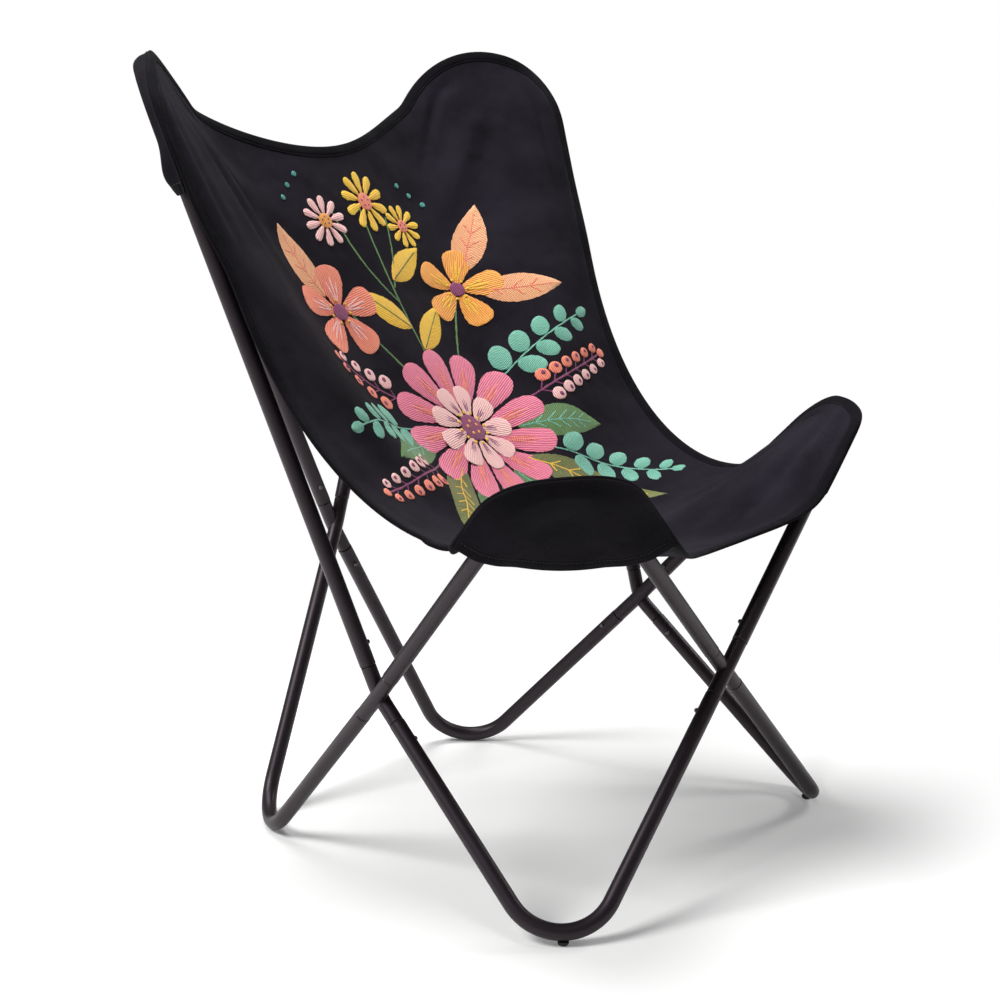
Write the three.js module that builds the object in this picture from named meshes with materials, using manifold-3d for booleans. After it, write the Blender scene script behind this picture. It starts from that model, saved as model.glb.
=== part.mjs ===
// Butterfly sling chair: a knock-down frame of bent steel tube carries a canvas sling by its four
// corner pockets. The frame is four hoops, four floor bends and four welded crosses, and a sprung
// snap button pins each of its sixteen tube joints.
// Millimetres, +Z up. The origin is on the floor under the middle of the chair; the front faces -Y.
import * as THREE from 'three';
import { mergeVertices } from 'three/addons/utils/BufferGeometryUtils.js';
import Module from 'manifold-3d';

const wasm = await Module();
wasm.setup();

// Steel tube
const tubeDiameter = 18;
const tubeWall = 1.2;
const tubeSides = 10;
const clearance = 0.3;

// Crossings of the tubes: half width or Y, and height
const sideCrossHalfWidth = 262;
const sideCrossY = 9;
const sideCrossHeight = 220;
const frontCrossY = -270;
const frontCrossHeight = 239;
const backCrossY = 296;
const backCrossHeight = 324;
const crossOffset = 5;

// Hoops: the apex of each bend and its radius at the tube's centre
const backHoopHalfWidth = 319;
const backHoopY = 277;
const backHoopHeight = 887;
const backHoopRadius = 87;
const frontHoopHalfWidth = 293;
const frontHoopY = -251;
const frontHoopHeight = 484;
const frontHoopRadius = 58;
const hoopArcSteps = 8;

// Floor bends: the apex in plan and the radius at the tube's centre
const frontBendHalfWidth = 264;
const frontBendY = -242;
const backBendHalfWidth = 187;
const backBendY = 244;
const floorBendRadius = 60;
const floorArcSteps = 7;

// Push-in feet, under the front floor bends only
const footDiameter = 12;
const footHeight = 5;
const footEdge = 1;
const footRound = 3;
const footRoundSteps = 3;
const footStemDiameter = 5;
const footStemReach = 4;
const footSides = 12;

// Tube joints: where a leg's seam lies, and the spigot inside the leg
const seamDistance = 36;
const spigotLength = 42;
const spigotWall = 1.2;
const spigotRoot = 6;
const crossBlend = 14;

// Snap buttons and their leaf springs
const buttonFromSeam = 24;
const buttonDiameter = 5.4;
const buttonProud = 3;
const buttonDome = 2;
const buttonSides = 8;
const buttonLean = 22;
const leafWidth = 6;
const leafThickness = 0.7;
const leafLength = 26;
const leafFlat = 4;

// Canvas sling: its lowest point, the dips of its edges and the cloth
const seatY = -65;
const seatHeight = 347;
const seatCurve = 1.7;
const sideDipHalfWidth = 291;
const sideDipY = -108;
const sideDipHeight = 403;
const frontDipY = -262;
const frontDipHeight = 371;
const backDipY = 302;
const backDipHeight = 793;
const backEdgeSlope = 0.45;
const clothThickness = 1.8;
const foldHeight = 5;
const foldStart = 0.45;
const foldCount = 2;

// How far the cloth's outline runs outside the hoop's centre line, and lifts off it at the back
const backTipMargin = 11.5;
const frontTipMargin = 13;
const backSideMargin = 18;
const backEndMargin = 26;
const frontSideMargin = 29;
const frontEndMargin = 38;
const backEndLift = 8;
const backEndBlend = 4;
const frontEndBlend = 4;

// How far the pockets reach down the straight legs of their hoops
const backPocketSideReach = 66;
const backPocketEndReach = 4;
const frontPocketSideReach = 70;
const frontPocketEndReach = 110;
const pocketDroop = 14;
const pocketThickness = 1.4;
const pocketSeamWidth = 14;
const pocketShoulder = 0.62;
const pocketStrips = 4;

// Free edges of the sling: the straight run below the back pocket, and the Bezier handles
const backEdgeRun = 130;
const backSideHandle = 150;
const sideDipBackHandle = 95;
const frontEndHandle = 45;
const frontDipHandle = 60;
const backEndHandle = 60;
const backDipHandle = 70;
const sideEdgeSteps = 6;
const endEdgeSteps = 3;

// Binding sewn over the sling's edge
const bindingWidth = 11;
const bindingThickness = 1;

const tubeRadius = tubeDiameter / 2;
const boreRadius = tubeRadius - tubeWall;
const spigotRadius = boreRadius - clearance;
const springBore = spigotRadius - spigotWall;
const buttonRadius = buttonDiameter / 2;
const leafReach = Math.sqrt((springBore - clearance) ** 2 - (leafWidth / 2) ** 2);

const steel = { color: 0x232225, roughness: 0.45, metalness: 0.35 };
const canvas = { color: 0x1f1d23, roughness: 0.95, metalness: 0 };
const lining = { color: 0x17161b, roughness: 0.95, metalness: 0 };
const tape = { color: 0x1a191d, roughness: 0.9, metalness: 0 };
const nickel = { color: 0x3a393c, roughness: 0.35, metalness: 0.8 };
const springSteel = { color: 0x8a8c90, roughness: 0.3, metalness: 1 };
const nylon = { color: 0x151516, roughness: 0.6, metalness: 0 };

const chair = new THREE.Group();

function addMesh(name, geometry, finish) {
  const mesh = new THREE.Mesh(geometry, new THREE.MeshStandardMaterial(finish));
  mesh.name = name;
  chair.add(mesh);
  return mesh;
}

// Solids for cutting and joining

function toSolid(geometry) {
  const bare = geometry.clone();
  bare.deleteAttribute('normal');
  bare.deleteAttribute('uv');
  const merged = mergeVertices(bare);
  return new wasm.Manifold(new wasm.Mesh({
    numProp: 3,
    vertProperties: new Float32Array(merged.attributes.position.array),
    triVerts: new Uint32Array(merged.index.array),
  }));
}

function toGeometry(solid) {
  const mesh = solid.getMesh();
  const geometry = new THREE.BufferGeometry();
  geometry.setAttribute('position', new THREE.BufferAttribute(mesh.vertProperties, 3));
  geometry.setIndex(new THREE.BufferAttribute(mesh.triVerts, 1));
  geometry.computeVertexNormals();
  return geometry;
}

// A polygon whose flats lie on the given radius is drawn this much larger
function roundFlats(radius, sides) {
  return radius / Math.cos(Math.PI / sides);
}

function polygon(radius, sides) {
  const corner = (k) => (k + 0.5) * 2 * Math.PI / sides;
  return Array.from({ length: sides }, (_, k) =>
    new THREE.Vector2(radius * Math.cos(corner(k)), radius * Math.sin(corner(k))));
}

function rod(from, to, radius, sides) {
  const along = to.clone().sub(from);
  const geometry = new THREE.CylinderGeometry(radius, radius, along.length(), sides);
  geometry.applyQuaternion(new THREE.Quaternion().setFromUnitVectors(
    new THREE.Vector3(0, 1, 0), along.clone().normalize()));
  const middle = from.clone().lerp(to, 0.5);
  geometry.translate(middle.x, middle.y, middle.z);
  return geometry;
}

// A path with a ring of the tube at each of its stations and none between them
class StationPath extends THREE.Curve {
  constructor(points, tangents) {
    super();
    this.points = points;
    this.tangents = tangents;
  }
  station(t) {
    return Math.round(t * (this.points.length - 1));
  }
  getPoint(t, target = new THREE.Vector3()) {
    return target.copy(this.points[this.station(t)]);
  }
  getTangent(t, target = new THREE.Vector3()) {
    return target.copy(this.tangents[this.station(t)]);
  }
  getUtoTmapping(u) {
    return u;
  }
}

function sweep(shape, points, tangents) {
  return new THREE.ExtrudeGeometry(shape, {
    steps: points.length - 1,
    extrudePath: new StationPath(points, tangents),
    bevelEnabled: false,
  });
}

function tubeSection() {
  const section = new THREE.Shape(polygon(tubeRadius, tubeSides));
  section.holes.push(new THREE.Path(polygon(roundFlats(boreRadius, tubeSides), tubeSides)));
  return section;
}

// The centre line of a hoop or floor bend: two straight legs from the crossings, tangent to an arc
function bendLine(a, b, apex, radius, steps) {
  const chord = b.clone().sub(a).normalize();
  const rise = apex.clone().sub(a);
  rise.addScaledVector(chord, -rise.dot(chord)).normalize();
  const centre = apex.clone().addScaledVector(rise, -radius);
  const touch = (end, side) => {
    const out = end.clone().sub(centre);
    const bearing = Math.atan2(side * out.dot(chord), out.dot(rise));
    return side * (bearing - Math.acos(radius / out.length()));
  };
  const first = touch(a, -1);
  const last = touch(b, 1);
  const outward = (angle) => rise.clone().multiplyScalar(Math.cos(angle))
    .addScaledVector(chord, Math.sin(angle));
  const forward = (angle) => chord.clone().multiplyScalar(Math.cos(angle))
    .addScaledVector(rise, -Math.sin(angle));
  const angles = Array.from({ length: steps + 1 }, (_, k) => first + (last - first) * k / steps);
  const at = (angle, margin = 0) => centre.clone().addScaledVector(outward(angle), radius + margin);
  const legs = [
    { cross: a, touch: at(first), down: forward(first).negate(), side: outward(first) },
    { cross: b, touch: at(last), down: forward(last), side: outward(last) },
  ];
  return { centre, chord, rise, radius, angles, at, forward, legs };
}

// The height of a floor bend's apex at which the lowest point of its axis comes to rest
function settledBend(a, b, x, y, rest) {
  const apex = new THREE.Vector3(x, y, rest);
  const settleRounds = 8;
  for (let round = 0; round < settleRounds; round += 1) {
    const line = bendLine(a, b, apex, floorBendRadius, floorArcSteps);
    apex.z += rest - lowestPoint(line).z;
  }
  return bendLine(a, b, apex, floorBendRadius, floorArcSteps);
}

function lowestPoint(line) {
  const normal = line.chord.clone().cross(line.rise);
  const down = new THREE.Vector3(0, 0, -1);
  down.addScaledVector(normal, -down.dot(normal)).normalize();
  return line.centre.clone().addScaledVector(down, line.radius);
}

// Each leg's joint: the seam, the spigot's end, and the button's place and the way it faces
function legJoint(line, index, way) {
  const leg = line.legs[index];
  const up = leg.down.clone().negate();
  const along = (distance) => leg.cross.clone().addScaledVector(up, distance);
  const facing = way.clone().addScaledVector(leg.down, -way.dot(leg.down)).normalize();
  return {
    up,
    facing,
    cross: leg.cross,
    seam: along(seamDistance),
    root: along(seamDistance - spigotRoot),
    shoulder: along(seamDistance - clearance),
    tip: along(seamDistance + spigotLength),
    button: along(seamDistance + buttonFromSeam),
    springEnd: along(seamDistance + buttonFromSeam - leafLength - 2 * clearance),
  };
}

function buttonHole(joint, radius) {
  const outside = joint.button.clone().addScaledVector(joint.facing, tubeDiameter);
  return toSolid(rod(joint.button, outside, roundFlats(radius, buttonSides), buttonSides));
}

function bentTube(name, line, ways, cuts) {
  const joints = ways.map((way, index) => legJoint(line, index, way));
  const points = [joints[0].seam, ...line.angles.map((angle) => line.at(angle)), joints[1].seam];
  const bends = line.angles.map((angle) => line.forward(angle));
  const tangents = [bends[0], ...bends, bends[bends.length - 1]];
  let solid = toSolid(sweep(tubeSection(), points, tangents));
  joints.forEach((joint) => {
    solid = solid.subtract(buttonHole(joint, buttonRadius + clearance));
  });
  cuts.forEach((cut) => {
    solid = solid.subtract(cut);
  });
  addMesh(name, toGeometry(solid), steel);
  return joints;
}

// A cross: two bent tubes welded through each other, each ending in two hollow spigots
function crossTube(upper, lower) {
  const near = [upper.up, lower.up].map((up) => upper.cross.clone().addScaledVector(up, crossBlend));
  const middle = near[0].clone().add(near[1]).multiplyScalar(0.25).addScaledVector(upper.cross, 0.5);
  const run = near[1].clone().sub(near[0]).normalize();
  const points = [upper.shoulder, near[0], middle, near[1], lower.shoulder];
  const tangents = [upper.up.clone().negate(), upper.up.clone().negate(), run, lower.up, lower.up];
  let solid = toSolid(sweep(new THREE.Shape(polygon(tubeRadius, tubeSides)), points, tangents));
  [upper, lower].forEach((joint) => {
    solid = solid.add(toSolid(rod(joint.root, joint.tip, spigotRadius, tubeSides)));
  });
  return solid;
}

function springBoreCut(joint) {
  const past = joint.tip.clone().addScaledVector(joint.up, tubeWall);
  return toSolid(rod(joint.springEnd, past, roundFlats(springBore, tubeSides), tubeSides));
}

function addCross(name, tubes) {
  let solid = crossTube(...tubes[0]).add(crossTube(...tubes[1]));
  tubes.flat().forEach((joint) => {
    solid = solid.subtract(springBoreCut(joint));
    solid = solid.subtract(buttonHole(joint, buttonRadius + clearance));
  });
  addMesh(name, toGeometry(solid), steel);
}

// A snap button stands on its leaf spring inside the spigot and reaches out through both walls
function addButton(name, joint) {
  const base = leafReach + clearance;
  const length = tubeRadius + buttonProud - base;
  const dome = [0.5, 0.87].map((share) => new THREE.Vector2(
    buttonRadius * Math.sqrt(1 - share ** 2), length - buttonDome + buttonDome * share));
  const profile = [
    new THREE.Vector2(0, 0),
    new THREE.Vector2(buttonRadius, 0),
    new THREE.Vector2(buttonRadius, length - buttonDome),
    ...dome,
    new THREE.Vector2(0, length),
  ];
  const mesh = addMesh(name, new THREE.LatheGeometry(profile, buttonSides), nickel);
  mesh.quaternion.setFromUnitVectors(new THREE.Vector3(0, 1, 0), joint.facing);
  mesh.position.copy(joint.button).addScaledVector(joint.facing, base);
}

// The leaf spring is a V of strip, its bend towards the cross
function addSpring(name, joint) {
  const heel = leafThickness;
  const outline = [
    [-leafFlat, leafReach], [leafFlat, leafReach], [leafLength, heel], [leafLength, -heel],
    [leafFlat, -leafReach], [-leafFlat, -leafReach], [-leafFlat, leafThickness - leafReach],
    [leafFlat - leafThickness / 2, leafThickness - leafReach], [leafLength - 2 * leafThickness, 0],
    [leafFlat - leafThickness / 2, leafReach - leafThickness], [-leafFlat, leafReach - leafThickness],
  ];
  const shape = new THREE.Shape(outline.map(([x, y]) => new THREE.Vector2(x, y)));
  const geometry = new THREE.ExtrudeGeometry(shape, { depth: leafWidth, bevelEnabled: false });
  geometry.translate(0, 0, -leafWidth / 2);
  const mesh = addMesh(name, geometry, springSteel);
  const inward = joint.up.clone().negate();
  const across = inward.clone().cross(joint.facing);
  mesh.quaternion.setFromRotationMatrix(
    new THREE.Matrix4().makeBasis(inward, joint.facing, across));
  mesh.position.copy(joint.button);
}

function footStemTop() {
  return footHeight + clearance + tubeWall + footStemReach;
}

function addFoot(name, place) {
  const radius = footDiameter / 2;
  const rounding = Array.from({ length: footRoundSteps + 1 }, (_, step) => {
    const turn = Math.PI / 2 * step / footRoundSteps;
    return [radius - footRound * (1 - Math.sin(turn)), footRound * (1 - Math.cos(turn))];
  });
  const profile = [
    [0, 0], ...rounding, [radius, footHeight - footEdge],
    [radius - footEdge, footHeight], [footStemDiameter / 2, footHeight],
    [footStemDiameter / 2, footStemTop()], [0, footStemTop()],
  ];
  const points = profile.map(([x, y]) => new THREE.Vector2(x, y));
  const mesh = addMesh(name, new THREE.LatheGeometry(points, footSides), nylon);
  mesh.rotation.x = Math.PI / 2;
  mesh.position.set(place.x, place.y, 0);
}

function footHole(place) {
  const low = new THREE.Vector3(place.x, place.y, 0);
  const high = new THREE.Vector3(place.x, place.y, footHeight + tubeRadius);
  const radius = roundFlats(footStemDiameter / 2 + clearance, footSides);
  return toSolid(rod(low, high, radius, footSides));
}

// Frame: the tubes form two closed loops that pass each other at the four crosses
const loopOutside = { left: 1, right: 1, front: 0, back: 0 };
const crossCentre = {
  left: new THREE.Vector3(-sideCrossHalfWidth, sideCrossY, sideCrossHeight),
  right: new THREE.Vector3(sideCrossHalfWidth, sideCrossY, sideCrossHeight),
  front: new THREE.Vector3(0, frontCrossY, frontCrossHeight),
  back: new THREE.Vector3(0, backCrossY, backCrossHeight),
};
const crossOutward = {
  left: new THREE.Vector3(-1, 0, 0),
  right: new THREE.Vector3(1, 0, 0),
  front: new THREE.Vector3(0, -1, 0),
  back: new THREE.Vector3(0, 1, 0),
};

function crossing(side, loop) {
  const shift = loopOutside[side] === loop ? crossOffset / 2 : -crossOffset / 2;
  return crossCentre[side].clone().addScaledVector(crossOutward[side], shift);
}

// Buttons face into the chair, and lean along the cross to one side on each loop
const crossLean = {
  left: new THREE.Vector3(0, 1, 0),
  right: new THREE.Vector3(0, -1, 0),
  front: new THREE.Vector3(1, 0, 0),
  back: new THREE.Vector3(1, 0, 0),
};

function buttonWays(corner, loop) {
  const lean = THREE.MathUtils.degToRad(loop === 0 ? -buttonLean : buttonLean);
  return [corner.side, corner.end].map((side) => crossLean[side].clone().multiplyScalar(Math.sin(lean))
    .addScaledVector(crossOutward[side], -Math.cos(lean)));
}

// Each corner has a hoop and a floor bend; a hoop's loop passes the other loop's floor bend
const corners = [
  { end: 'back', side: 'left', mirror: -1, hoopLoop: 0, floorLoop: 1 },
  { end: 'back', side: 'right', mirror: 1, hoopLoop: 1, floorLoop: 0 },
  { end: 'front', side: 'left', mirror: -1, hoopLoop: 1, floorLoop: 0 },
  { end: 'front', side: 'right', mirror: 1, hoopLoop: 0, floorLoop: 1 },
];

function hoopLine(corner) {
  const back = corner.end === 'back';
  const apex = back
    ? new THREE.Vector3(corner.mirror * backHoopHalfWidth, backHoopY, backHoopHeight)
    : new THREE.Vector3(corner.mirror * frontHoopHalfWidth, frontHoopY, frontHoopHeight);
  const radius = back ? backHoopRadius : frontHoopRadius;
  const sideEnd = crossing(corner.side, corner.hoopLoop);
  const farEnd = crossing(corner.end, corner.hoopLoop);
  return bendLine(sideEnd, farEnd, apex, radius, hoopArcSteps);
}

function floorLine(corner) {
  const back = corner.end === 'back';
  const x = corner.mirror * (back ? backBendHalfWidth : frontBendHalfWidth);
  const y = back ? backBendY : frontBendY;
  const sideEnd = crossing(corner.side, corner.floorLoop);
  const farEnd = crossing(corner.end, corner.floorLoop);
  const rest = clearance + tubeRadius + (back ? 0 : footHeight);
  return settledBend(sideEnd, farEnd, x, y, rest);
}

const jointsAt = { left: [[], []], right: [[], []], front: [[], []], back: [[], []] };

function joinLegs(piece, corner, loop, joints) {
  [corner.side, corner.end].forEach((cross, index) => {
    jointsAt[cross][loop].push(joints[index]);
    addButton(`button_${piece}_cross_${cross}`, joints[index]);
    addSpring(`spring_${piece}_cross_${cross}`, joints[index]);
  });
}

corners.forEach((corner) => {
  const place = `${corner.end}_${corner.side}`;
  corner.hoop = hoopLine(corner);
  const hoopJoints = bentTube(`hoop_${place}`, corner.hoop, buttonWays(corner, corner.hoopLoop), []);
  joinLegs(`hoop_${place}`, corner, corner.hoopLoop, hoopJoints);
  const bend = floorLine(corner);
  const foot = lowestPoint(bend);
  const front = corner.end === 'front';
  const floorWays = buttonWays(corner, corner.floorLoop);
  const floorJoints = bentTube(`floor_bend_${place}`, bend, floorWays, front ? [footHole(foot)] : []);
  joinLegs(`floor_bend_${place}`, corner, corner.floorLoop, floorJoints);
  if (front) addFoot(`foot_${place}`, foot);
});

Object.entries(jointsAt).forEach(([side, tubes]) => addCross(`cross_${side}`, tubes));

// Sling: its outline runs round the four hoops and along four free edges
const seat = new THREE.Vector3(0, seatY, seatHeight);
const slingOffset = tubeRadius + clearance + clothThickness / 2;

function cornerOutline(corner) {
  const line = corner.hoop;
  const back = corner.end === 'back';
  const margins = back ? [backSideMargin, backEndMargin] : [frontSideMargin, frontEndMargin];
  const tipMargin = back ? backTipMargin : frontTipMargin;
  const reaches = back
    ? [backPocketSideReach, backPocketEndReach]
    : [frontPocketSideReach, frontPocketEndReach];
  const inner = line.chord.clone().cross(line.rise).normalize();
  if (inner.dot(seat.clone().sub(line.centre)) < 0) inner.negate();
  const endBlend = back ? backEndBlend : frontEndBlend;
  const endShare = (angle) => Math.max(angle / line.angles[line.angles.length - 1], 0) ** endBlend;
  const marginAt = (angle) => (angle < 0
    ? THREE.MathUtils.lerp(tipMargin, margins[0], angle / line.angles[0])
    : THREE.MathUtils.lerp(tipMargin, margins[1], endShare(angle)));
  const lift = back ? backEndLift : 0;
  const heights = [0, ...line.angles.map(endShare), 1].map((share) => slingOffset + lift * share);
  const ends = line.legs.map((leg, index) => leg.touch.clone()
    .addScaledVector(leg.side, margins[index]).addScaledVector(leg.down, reaches[index]));
  const arc = line.angles.map((angle) => line.at(angle, marginAt(angle)));
  const flat = [ends[0], ...arc, ends[1]];
  const rim = flat.map((point, k) => point.clone().addScaledVector(inner, heights[k]));
  return { flat, rim, heights, inner };
}

corners.forEach((corner) => {
  corner.outline = cornerOutline(corner);
});
const [backLeft, backRight, frontLeft, frontRight] = corners;

function bezier(from, fromHandle, toHandle, to, steps) {
  return new THREE.CubicBezierCurve3(from, fromHandle, toHandle, to).getPoints(steps);
}

function sideEdge(backCorner) {
  const down = backCorner.hoop.legs[0].down;
  const start = backCorner.outline.rim[0].clone().addScaledVector(down, backEdgeRun);
  const dip = new THREE.Vector3(backCorner.mirror * sideDipHalfWidth, sideDipY, sideDipHeight);
  const startHandle = start.clone().addScaledVector(down, backSideHandle);
  const backHandle = dip.clone().add(new THREE.Vector3(0, sideDipBackHandle, 0));
  return bezier(start, startHandle, backHandle, dip, sideEdgeSteps);
}

function endEdge(from, to, dip, handles) {
  const across = new THREE.Vector3(Math.sign(to.point.x), 0, 0);
  const dipHandle = (side) => dip.clone().addScaledVector(across, side * handles[1]);
  const fromHandle = from.point.clone().addScaledVector(from.leave, handles[0]);
  const toHandle = to.point.clone().addScaledVector(to.leave, handles[0]);
  const first = bezier(from.point, fromHandle, dipHandle(-1), dip, endEdgeSteps);
  const second = bezier(dip, dipHandle(1), toHandle, to.point, endEdgeSteps);
  return [...first.slice(1), ...second.slice(1, -1)];
}

function edgeEnd(corner, leave) {
  const rim = corner.outline.rim;
  return { point: rim[rim.length - 1], leave };
}

function backLeave(corner) {
  return new THREE.Vector3(-corner.mirror, 0, -backEdgeSlope).normalize();
}

const frontEdge = endEdge(
  edgeEnd(frontRight, frontRight.hoop.legs[1].down), edgeEnd(frontLeft, frontLeft.hoop.legs[1].down),
  new THREE.Vector3(0, frontDipY, frontDipHeight), [frontEndHandle, frontDipHandle]);
const backEdge = endEdge(
  edgeEnd(backLeft, backLeave(backLeft)), edgeEnd(backRight, backLeave(backRight)),
  new THREE.Vector3(0, backDipY, backDipHeight), [backEndHandle, backDipHandle]);

// The outline in one closed run, with the share of a fold that each corner's points take
function foldShares(count) {
  return Array.from({ length: count }, (_, k) =>
    0.5 - 0.5 * Math.cos(2 * Math.PI * foldCount * k / (count - 1)));
}

const outline = [];

function addOutline(points, inner) {
  const shares = foldShares(points.length);
  points.forEach((point, k) => {
    outline.push({ point, inner, fold: inner ? shares[k] : 0 });
  });
}

addOutline([...backRight.outline.rim].reverse(), backRight.outline.inner);
addOutline(sideEdge(backRight), null);
addOutline(frontRight.outline.rim, frontRight.outline.inner);
addOutline(frontEdge, null);
addOutline([...frontLeft.outline.rim].reverse(), frontLeft.outline.inner);
addOutline(sideEdge(backLeft).reverse(), null);
addOutline(backLeft.outline.rim, backLeft.outline.inner);
addOutline(backEdge, null);

// The cloth hangs from its outline to the seat: straight in plan, a power curve in height
function clothPoint(edge, share) {
  const point = seat.clone().lerp(edge.point, share);
  point.z = THREE.MathUtils.lerp(seatHeight, edge.point.z, share ** seatCurve);
  if (edge.inner && share > foldStart) {
    const across = (share - foldStart) / (1 - foldStart);
    const swell = Math.sin(Math.PI * across) ** 2;
    point.addScaledVector(edge.inner, foldHeight * edge.fold * swell);
  }
  return point;
}

const ringShares = [0.14, 0.28, 0.42, 0.55, 0.67, 0.78, 0.88];
const clothRows = ringShares.map((share) => outline.map((edge) => clothPoint(edge, share)));
clothRows.push(outline.map((edge, i) => {
  const before = outline[(i + outline.length - 1) % outline.length].point;
  const after = outline[(i + 1) % outline.length].point;
  const along = after.clone().sub(before).normalize();
  const inward = clothRows[ringShares.length - 1][i].clone().sub(edge.point);
  inward.addScaledVector(along, -inward.dot(along)).normalize();
  return edge.point.clone().addScaledVector(inward, bindingWidth);
}));
clothRows.push(outline.map((edge) => edge.point.clone()));

// Normals of a grid of points; wrapped grids close on themselves along their rows
function gridNormals(rows, wrapped) {
  const at = (j, i) => {
    const row = rows[THREE.MathUtils.clamp(j, 0, rows.length - 1)];
    const count = row.length;
    return row[wrapped ? (i + count) % count : THREE.MathUtils.clamp(i, 0, count - 1)];
  };
  return rows.map((row, j) => row.map((_, i) => {
    const across = at(j, i + 1).clone().sub(at(j, i - 1));
    const along = at(j + 1, i).clone().sub(at(j - 1, i));
    return across.cross(along).normalize();
  }));
}

class FaceList {
  constructor() {
    this.positions = [];
    this.indices = [];
  }
  point(vector) {
    this.positions.push(vector.x, vector.y, vector.z);
    return this.positions.length / 3 - 1;
  }
  face(a, b, c) {
    this.indices.push(a, b, c);
  }
  quad(a, b, c, d) {
    this.face(a, b, c);
    this.face(a, c, d);
  }
  geometry() {
    const geometry = new THREE.BufferGeometry();
    geometry.setAttribute('position', new THREE.Float32BufferAttribute(this.positions, 3));
    geometry.setIndex(this.indices);
    geometry.computeVertexNormals();
    return geometry;
  }
}

function skin(list, rows, normals, offset) {
  return rows.map((row, j) => row.map((point, i) =>
    list.point(point.clone().addScaledVector(normals[j][i], offset))));
}

const clothNormals = gridNormals(clothRows, true);

function addSling() {
  const list = new FaceList();
  const half = clothThickness / 2;
  const upper = skin(list, clothRows, clothNormals, half);
  const lower = skin(list, clothRows, clothNormals, -half);
  const up = new THREE.Vector3(0, 0, half);
  const poles = [list.point(seat.clone().add(up)), list.point(seat.clone().sub(up))];
  const count = outline.length;
  const last = clothRows.length - 1;
  for (let i = 0; i < count; i += 1) {
    const next = (i + 1) % count;
    list.face(poles[0], upper[0][next], upper[0][i]);
    list.face(poles[1], lower[0][i], lower[0][next]);
    for (let j = 0; j < last; j += 1) {
      list.quad(upper[j][i], upper[j][next], upper[j + 1][next], upper[j + 1][i]);
      list.quad(lower[j][i], lower[j + 1][i], lower[j + 1][next], lower[j][next]);
    }
    list.quad(upper[last][i], upper[last][next], lower[last][next], lower[last][i]);
  }
  addMesh('sling', list.geometry(), canvas);
}

// The binding is a folded tape whose two legs lie on both faces of the cloth's edge
function addBinding() {
  const list = new FaceList();
  const last = clothRows.length - 1;
  const inside = clothThickness / 2 + clearance;
  const outside = inside + bindingThickness;
  const sections = outline.map((edge, i) => {
    const hem = clothRows[last - 1][i];
    const rim = clothRows[last][i];
    const outward = rim.clone().sub(hem).normalize();
    const at = (base, normal, lift, reach) => list.point(base.clone()
      .addScaledVector(normal, lift).addScaledVector(outward, reach));
    const hemNormal = clothNormals[last - 1][i];
    const rimNormal = clothNormals[last][i];
    return [
      at(hem, hemNormal, inside, 0), at(rim, rimNormal, inside, clearance),
      at(rim, rimNormal, -inside, clearance), at(hem, hemNormal, -inside, 0),
      at(hem, hemNormal, -outside, 0),
      at(rim, rimNormal, -outside, clearance + bindingThickness),
      at(rim, rimNormal, outside, clearance + bindingThickness),
      at(hem, hemNormal, outside, 0),
    ];
  });
  sections.forEach((section, i) => {
    const next = sections[(i + 1) % sections.length];
    section.forEach((_, k) => {
      const after = (k + 1) % section.length;
      const towardsHem = k % 4 === 2;
      if (towardsHem) list.quad(section[after], next[after], next[k], section[k]);
      else list.quad(section[k], section[after], next[after], next[k]);
    });
  });
  addMesh('edge_binding', list.geometry(), tape);
}

// A pocket wraps from under the binding round the outside of the hoop and down to its mouth
function addPocket(corner) {
  const { flat, heights, inner } = corner.outline;
  const columns = flat.length - 1;
  const mouthLine = flat[columns].clone().sub(flat[0]).normalize();
  const mouthEnds = [
    flat[0].clone().addScaledVector(mouthLine, pocketSeamWidth),
    flat[columns].clone().addScaledVector(mouthLine, -pocketSeamWidth),
  ];
  const half = pocketThickness / 2;
  const under = clothThickness / 2 + 2 * clearance + 2 * bindingThickness;
  const outside = -(tubeRadius + clearance + half);
  const wall = half + clearance;
  const profile = [[wall, 0], [3 * wall, outside * pocketShoulder], [pocketSeamWidth / 2, outside]];
  const columnPoints = flat.map((point, i) => {
    const mouth = mouthEnds[0].clone().lerp(mouthEnds[1], i / columns)
      .addScaledVector(corner.hoop.rise, -pocketDroop * Math.sin(Math.PI * i / columns));
    const inward = mouth.clone().sub(point);
    const length = inward.length();
    inward.normalize();
    const start = profile[profile.length - 1][0];
    const rest = Array.from({ length: pocketStrips }, (_, k) =>
      [THREE.MathUtils.lerp(start, length, (k + 1) / pocketStrips), outside]);
    const seam = [wall, heights[i] - under];
    return [seam, ...profile, ...rest].map(([reach, height]) => point.clone()
      .addScaledVector(inward, reach).addScaledVector(inner, height));
  });
  const rows = columnPoints[0].map((_, j) => columnPoints.map((column) => column[j]));
  const normals = gridNormals(rows, false);
  const list = new FaceList();
  const front = skin(list, rows, normals, half);
  const rear = skin(list, rows, normals, -half);
  const lastRow = rows.length - 1;
  for (let i = 0; i < columns; i += 1) {
    for (let j = 0; j < lastRow; j += 1) {
      list.quad(front[j][i], front[j][i + 1], front[j + 1][i + 1], front[j + 1][i]);
      list.quad(rear[j][i], rear[j + 1][i], rear[j + 1][i + 1], rear[j][i + 1]);
    }
    list.quad(front[0][i], rear[0][i], rear[0][i + 1], front[0][i + 1]);
    list.quad(front[lastRow][i], front[lastRow][i + 1], rear[lastRow][i + 1], rear[lastRow][i]);
  }
  for (let j = 0; j < lastRow; j += 1) {
    list.quad(front[j][0], front[j + 1][0], rear[j + 1][0], rear[j][0]);
    list.quad(front[j][columns], rear[j][columns], rear[j + 1][columns], front[j + 1][columns]);
  }
  addMesh(`pocket_${corner.end}_${corner.side}`, list.geometry(), lining);
}

addSling();
addBinding();
corners.forEach((corner) => addPocket(corner));

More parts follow.
